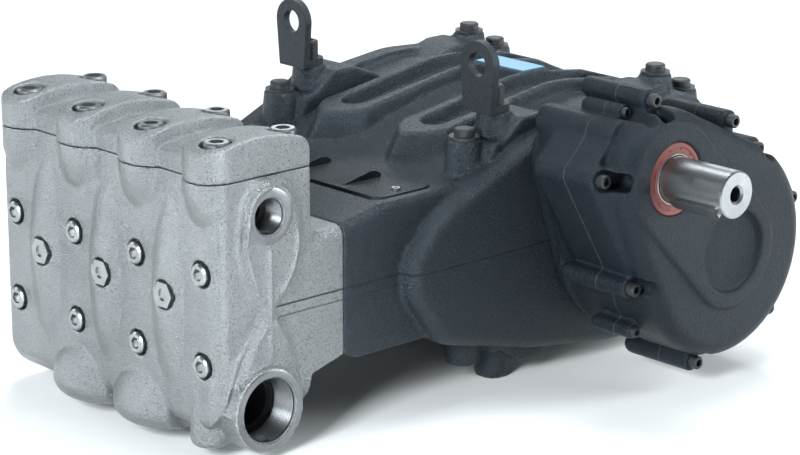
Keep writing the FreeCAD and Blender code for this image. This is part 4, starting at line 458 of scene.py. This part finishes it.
head_skin = cast_skin("head_skin", ["fluid_end", "flange"],
                      voxel=0.0020, rounds=3, share=0.5, extras=ribs)
cast_skin("valve_cover_skin", ["valve_cover"], voxel=0.0020, rounds=4, share=0.5)
cast_skin("crankcase_skin", ["crankcase_upper", "crankcase_lower"],
          voxel=0.0026, rounds=3, share=0.4)
gearbox_skin = cast_skin("gearbox_skin", ["gear_housing", "gear_cover"],
                         voxel=0.0022, rounds=6, share=0.5)

# The bores keep their room after the smoothing.

MOUTH_REACH = 0.02
SHAFT_ROOM = 0.0012
SHAFT_BORE_EXTRA = 0.005
PORT_ROOM = 0.0006
PORT_END = 0.003
PORTS = ("outlet_right", "outlet_left", "inlet_right", "inlet_left")


def clear_bore(skin, mouth, axis, radius, depth):
    # Pushes the skin out of a bore that starts at its mouth and runs against the axis.
    for vertex in skin.data.vertices:
        away = vertex.co - mouth
        along = away.dot(axis)
        away -= axis * along
        if -depth < along < MOUTH_REACH and 0 < away.length < radius:
            vertex.co += away.normalized() * (radius - away.length)


def port_sizes(port):
    # Place of the mouth, axis, thread radius and thread length.
    mount = mounts[port]
    dims = mount["dims"]
    return (Vector(mount["pos_m"]), Vector(mount["axis"]),
            dims["r_mm"] / PER_METRE, dims["length_mm"] / PER_METRE)


shaft_mount = Vector(mounts["input_shaft"]["pos_m"])
shaft_low, shaft_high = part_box("input_shaft")
shaft_radius = (shaft_high[2] - shaft_low[2]) / 2
clear_bore(gearbox_skin, shaft_mount, Vector(ALONG_X), shaft_radius + SHAFT_ROOM,
           shaft_high[0] - shaft_low[0] + SHAFT_BORE_EXTRA)
for port in PORTS:
    pos, axis, radius, length = port_sizes(port)
    clear_bore(head_skin, pos, axis, radius + PORT_ROOM, length - PORT_END)

# Ports: a machined face with a chamfer, a helical thread, and a painted-shade sleeve behind it.

SHARP_ANGLE = 28
FACE_WIDTH = {"outlet": 0.0125, "inlet": 0.0105}
FACE_STAND = 0.002
THREAD_PITCH = 0.0046
THREAD_DEPTH = 0.0020
THREAD_START = 0.003
THREAD_SHORT = 0.008
WALL_GAP = 0.0002
PASSAGE_SHARE = 0.8  # of the thread's radius
PASSAGE_GAP = 0.0006
PASSAGE_REACH = 0.055
SLEEVE_GAP = 0.0012
SLEEVE_START = 0.0005
PIN_HOLE = 0.0005


def placing(centre, axis):
    # Brings a shape made about Z to its centre and axis.
    turn = Vector((0, 0, 1)).rotation_difference(Vector(axis)).to_matrix().to_4x4()
    return Matrix.Translation(Vector(centre)) @ turn


def turned(name, profile, centre, axis, segments=96):
    # Surface of revolution about the axis; each profile point is (along the axis, radius).
    place = placing(centre, axis)
    mesh = bpy.data.meshes.new(name)
    built = bmesh.new()
    rings = []
    for along, radius in profile:
        ring = []
        for i in range(segments):
            angle = 2 * math.pi * i / segments
            point = Vector((radius * math.cos(angle), radius * math.sin(angle), along))
            ring.append(built.verts.new(place @ point))
        rings.append(ring)
    for first, second in zip(rings, rings[1:]):
        for i in range(segments):
            j = (i + 1) % segments
            built.faces.new((first[i], first[j], second[j], second[i]))
    bmesh.ops.recalc_face_normals(built, faces=built.faces)
    built.to_mesh(mesh)
    built.free()
    mesh.shade_smooth()
    mesh.set_sharp_from_angle(angle=math.radians(SHARP_ANGLE))
    return linked(name, mesh)


def helix(name, centre, axis, radius, depth, pitch, length, segments=72):
    # Inner thread with two flanks; the second flank takes the second material, a painted shade.
    place = placing(centre, axis)
    steps = int(segments * length / pitch)
    built = bmesh.new()
    lines = []
    for offset, r in ((0, radius), (0.5, radius - depth), (1, radius)):
        line = []
        for i in range(steps + 1):
            angle = 2 * math.pi * i / segments
            along = -pitch * (i / segments + offset)
            point = Vector((r * math.cos(angle), r * math.sin(angle), along))
            line.append(built.verts.new(place @ point))
        lines.append(line)
    for flank, (first, second) in enumerate(zip(lines, lines[1:])):
        for i in range(steps):
            face = built.faces.new((first[i], first[i + 1], second[i + 1], second[i]))
            face.material_index = flank
    mesh = bpy.data.meshes.new(name)
    bmesh.ops.recalc_face_normals(built, faces=built.faces)
    built.to_mesh(mesh)
    built.free()
    return linked(name, mesh)


for port in PORTS:
    kind, side = port.split("_")
    pos, axis, radius, length = port_sizes(port)
    mouth = pos + axis * FACE_STAND
    wall = radius - WALL_GAP
    outer = radius + FACE_WIDTH[kind]
    ring = turned(f"{kind}_face_{side}", [
        (-0.0015, outer + 0.0006), (0.0, outer - 0.0008), (0.0002, outer - 0.0012),
        (0.0002, radius + 0.0022), (-0.0022, wall), (-0.004, wall),
    ], mouth, axis)
    finished(ring, bore_steel)
    thread = helix(f"{kind}_thread_{side}", mouth - axis * THREAD_START, axis, wall,
                   THREAD_DEPTH, THREAD_PITCH, length - THREAD_SHORT)
    finished(thread, bore_steel)
    # The second flank of each thread turn is painted in shade.
    thread.data.materials.append(port_shade)
    passage = radius * PASSAGE_SHARE - PASSAGE_GAP
    start = -length + SLEEVE_START
    end = -length - PASSAGE_REACH
    # Painted shade: a dark sleeve lines the passage deep in the bore.
    sleeve = turned(f"{kind}_passage_{side}", [
        (start, radius - SLEEVE_GAP), (start, passage), (end, passage), (end, PIN_HOLE),
    ], pos, axis)
    finished(sleeve, port_shade)

# Shaft seal: outer ring, groove and lip, a steel ring at the lip, and a row of small dimples.

SEAL_SEGMENTS = 120
LIP_ROOM = 0.0006
DIMPLES = 12
DIMPLE_SEGMENTS = 16
DIMPLE_IN = 0.0075
GROOVE_DEPTH = 0.0010
seal_low, seal_high = (Vector(c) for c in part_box("shaft_seal"))
seal_outer = (seal_high.z - seal_low.z) / 2
seal_centre = (seal_high.x, shaft_mount.y, shaft_mount.z)
lip = shaft_radius + LIP_ROOM
seal = turned("seal_ring", [
    (-0.010, seal_outer - 0.0002), (-0.0010, seal_outer - 0.0002),
    (-0.0002, seal_outer - 0.0012), (-0.0002, seal_outer - 0.0050),
    (-0.0012, seal_outer - 0.0058), (-0.0012, seal_outer - 0.0100),
    (-0.0004, seal_outer - 0.0108), (-0.0004, lip + 0.0024),
    (-0.0014, lip + 0.0012), (-0.0030, lip), (-0.0100, lip),
], seal_centre, ALONG_X, SEAL_SEGMENTS)
finished(seal, materials["seal_rubber"])
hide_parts("shaft_seal")

lip_ring = turned("seal_lip_ring", [
    (-0.0035, lip + 0.0001), (-0.0002, lip + 0.0001), (0.0003, lip + 0.0007),
    (0.0003, lip + 0.0014), (-0.0003, lip + 0.0020), (-0.0020, lip + 0.0022),
], seal_centre, ALONG_X, SEAL_SEGMENTS)
finished(lip_ring, materials["bright_screw"])

dimple_circle = seal_outer - DIMPLE_IN
for i in range(DIMPLES):
    angle = 2 * math.pi * (i + 0.5) / DIMPLES
    centre = (seal_high.x - GROOVE_DEPTH, shaft_mount.y + dimple_circle * math.cos(angle),
              shaft_mount.z + dimple_circle * math.sin(angle))
    # Each dimple is a small dark cone of painted shade.
    dimple = turned(f"seal_dimple_{i}", [(0.0, 0.0013), (0.0002, 0.0009), (-0.0004, 0.0002)],
                    centre, ALONG_X, DIMPLE_SEGMENTS)
    finished(dimple, port_shade)

# Floor, light and camera.

FLOOR_HALF = 30
FLOOR_DROP = 0.001
WORLD_COLOUR = (0.86, 0.95, 1.0, 1)
WORLD_STRENGTH = 0.18
LIGHT_COLOUR = (0.92, 0.975, 1.0)
LIGHT_TARGET = Vector((0, -0.1, 0.2))
# Name, place, watts, width and height.
LIGHTS = [
    ("key", (1.2, -3.2, 1.5), 175, 0.9, 0.9),
    ("left", (-2.8, -1.6, 1.2), 28, 1.2, 1.8),
    ("right", (2.3, 2.5, 1.2), 130, 1.0, 1.8),
    ("back", (-2.3, 2.5, 1.5), 16, 1.8, 0.8),
    ("top", (-0.5, 0.6, 3.2), 110, 1.8, 1.8),
]
CAMERA_PLACE = (2.4828, -2.4254, 1.1216)
CAMERA_DOWN = 16.086
CAMERA_TURN = 47.343
CAMERA_LENS = 127.3
CAMERA_SENSOR = 36

floor_mesh = bpy.data.meshes.new("floor")
floor_mesh.from_pydata([(x * FLOOR_HALF, y * FLOOR_HALF, 0)
                        for x, y in ((-1, -1), (1, -1), (1, 1), (-1, 1))], [], [(0, 1, 2, 3)])
floor = linked("floor", floor_mesh)
floor.location.z = -FLOOR_DROP
floor_material, floor_tree, floor_shader = new_material("floor_paint")
floor_noise = noise(floor_tree, place_of(floor_tree), 3, detail=2, roughness=0.5)
floor_tint = blended(floor_tree, floor_noise, (0.86, 0.86, 0.86), (0.90, 0.90, 0.90))
floor_tree.links.new(floor_tint, floor_shader.inputs["Base Color"])
floor_shader.inputs["Roughness"].default_value = 0.7
floor.data.materials.append(floor_material)

world = bpy.data.worlds.new("studio")
world.use_nodes = True
background = world.node_tree.nodes["Background"]
background.inputs["Color"].default_value = WORLD_COLOUR
background.inputs["Strength"].default_value = WORLD_STRENGTH
bpy.context.scene.world = world

for name, place, power, width, height in LIGHTS:
    lamp = bpy.data.lights.new(name, "AREA")
    lamp.shape = "RECTANGLE"
    lamp.energy = power
    lamp.color = LIGHT_COLOUR
    lamp.size = width
    lamp.size_y = height
    softbox = linked(name, lamp)
    softbox.location = place
    softbox.rotation_euler = (LIGHT_TARGET - Vector(place)).to_track_quat("-Z", "Y").to_euler()

camera_data = bpy.data.cameras.new("camera")
camera_data.lens = CAMERA_LENS
camera_data.sensor_width = CAMERA_SENSOR
camera = linked("camera", camera_data)
camera.location = CAMERA_PLACE
camera.rotation_euler = (math.radians(90 - CAMERA_DOWN), 0, math.radians(CAMERA_TURN))
bpy.context.scene.camera = camera
bpy.context.scene.view_settings.view_transform = "Standard"
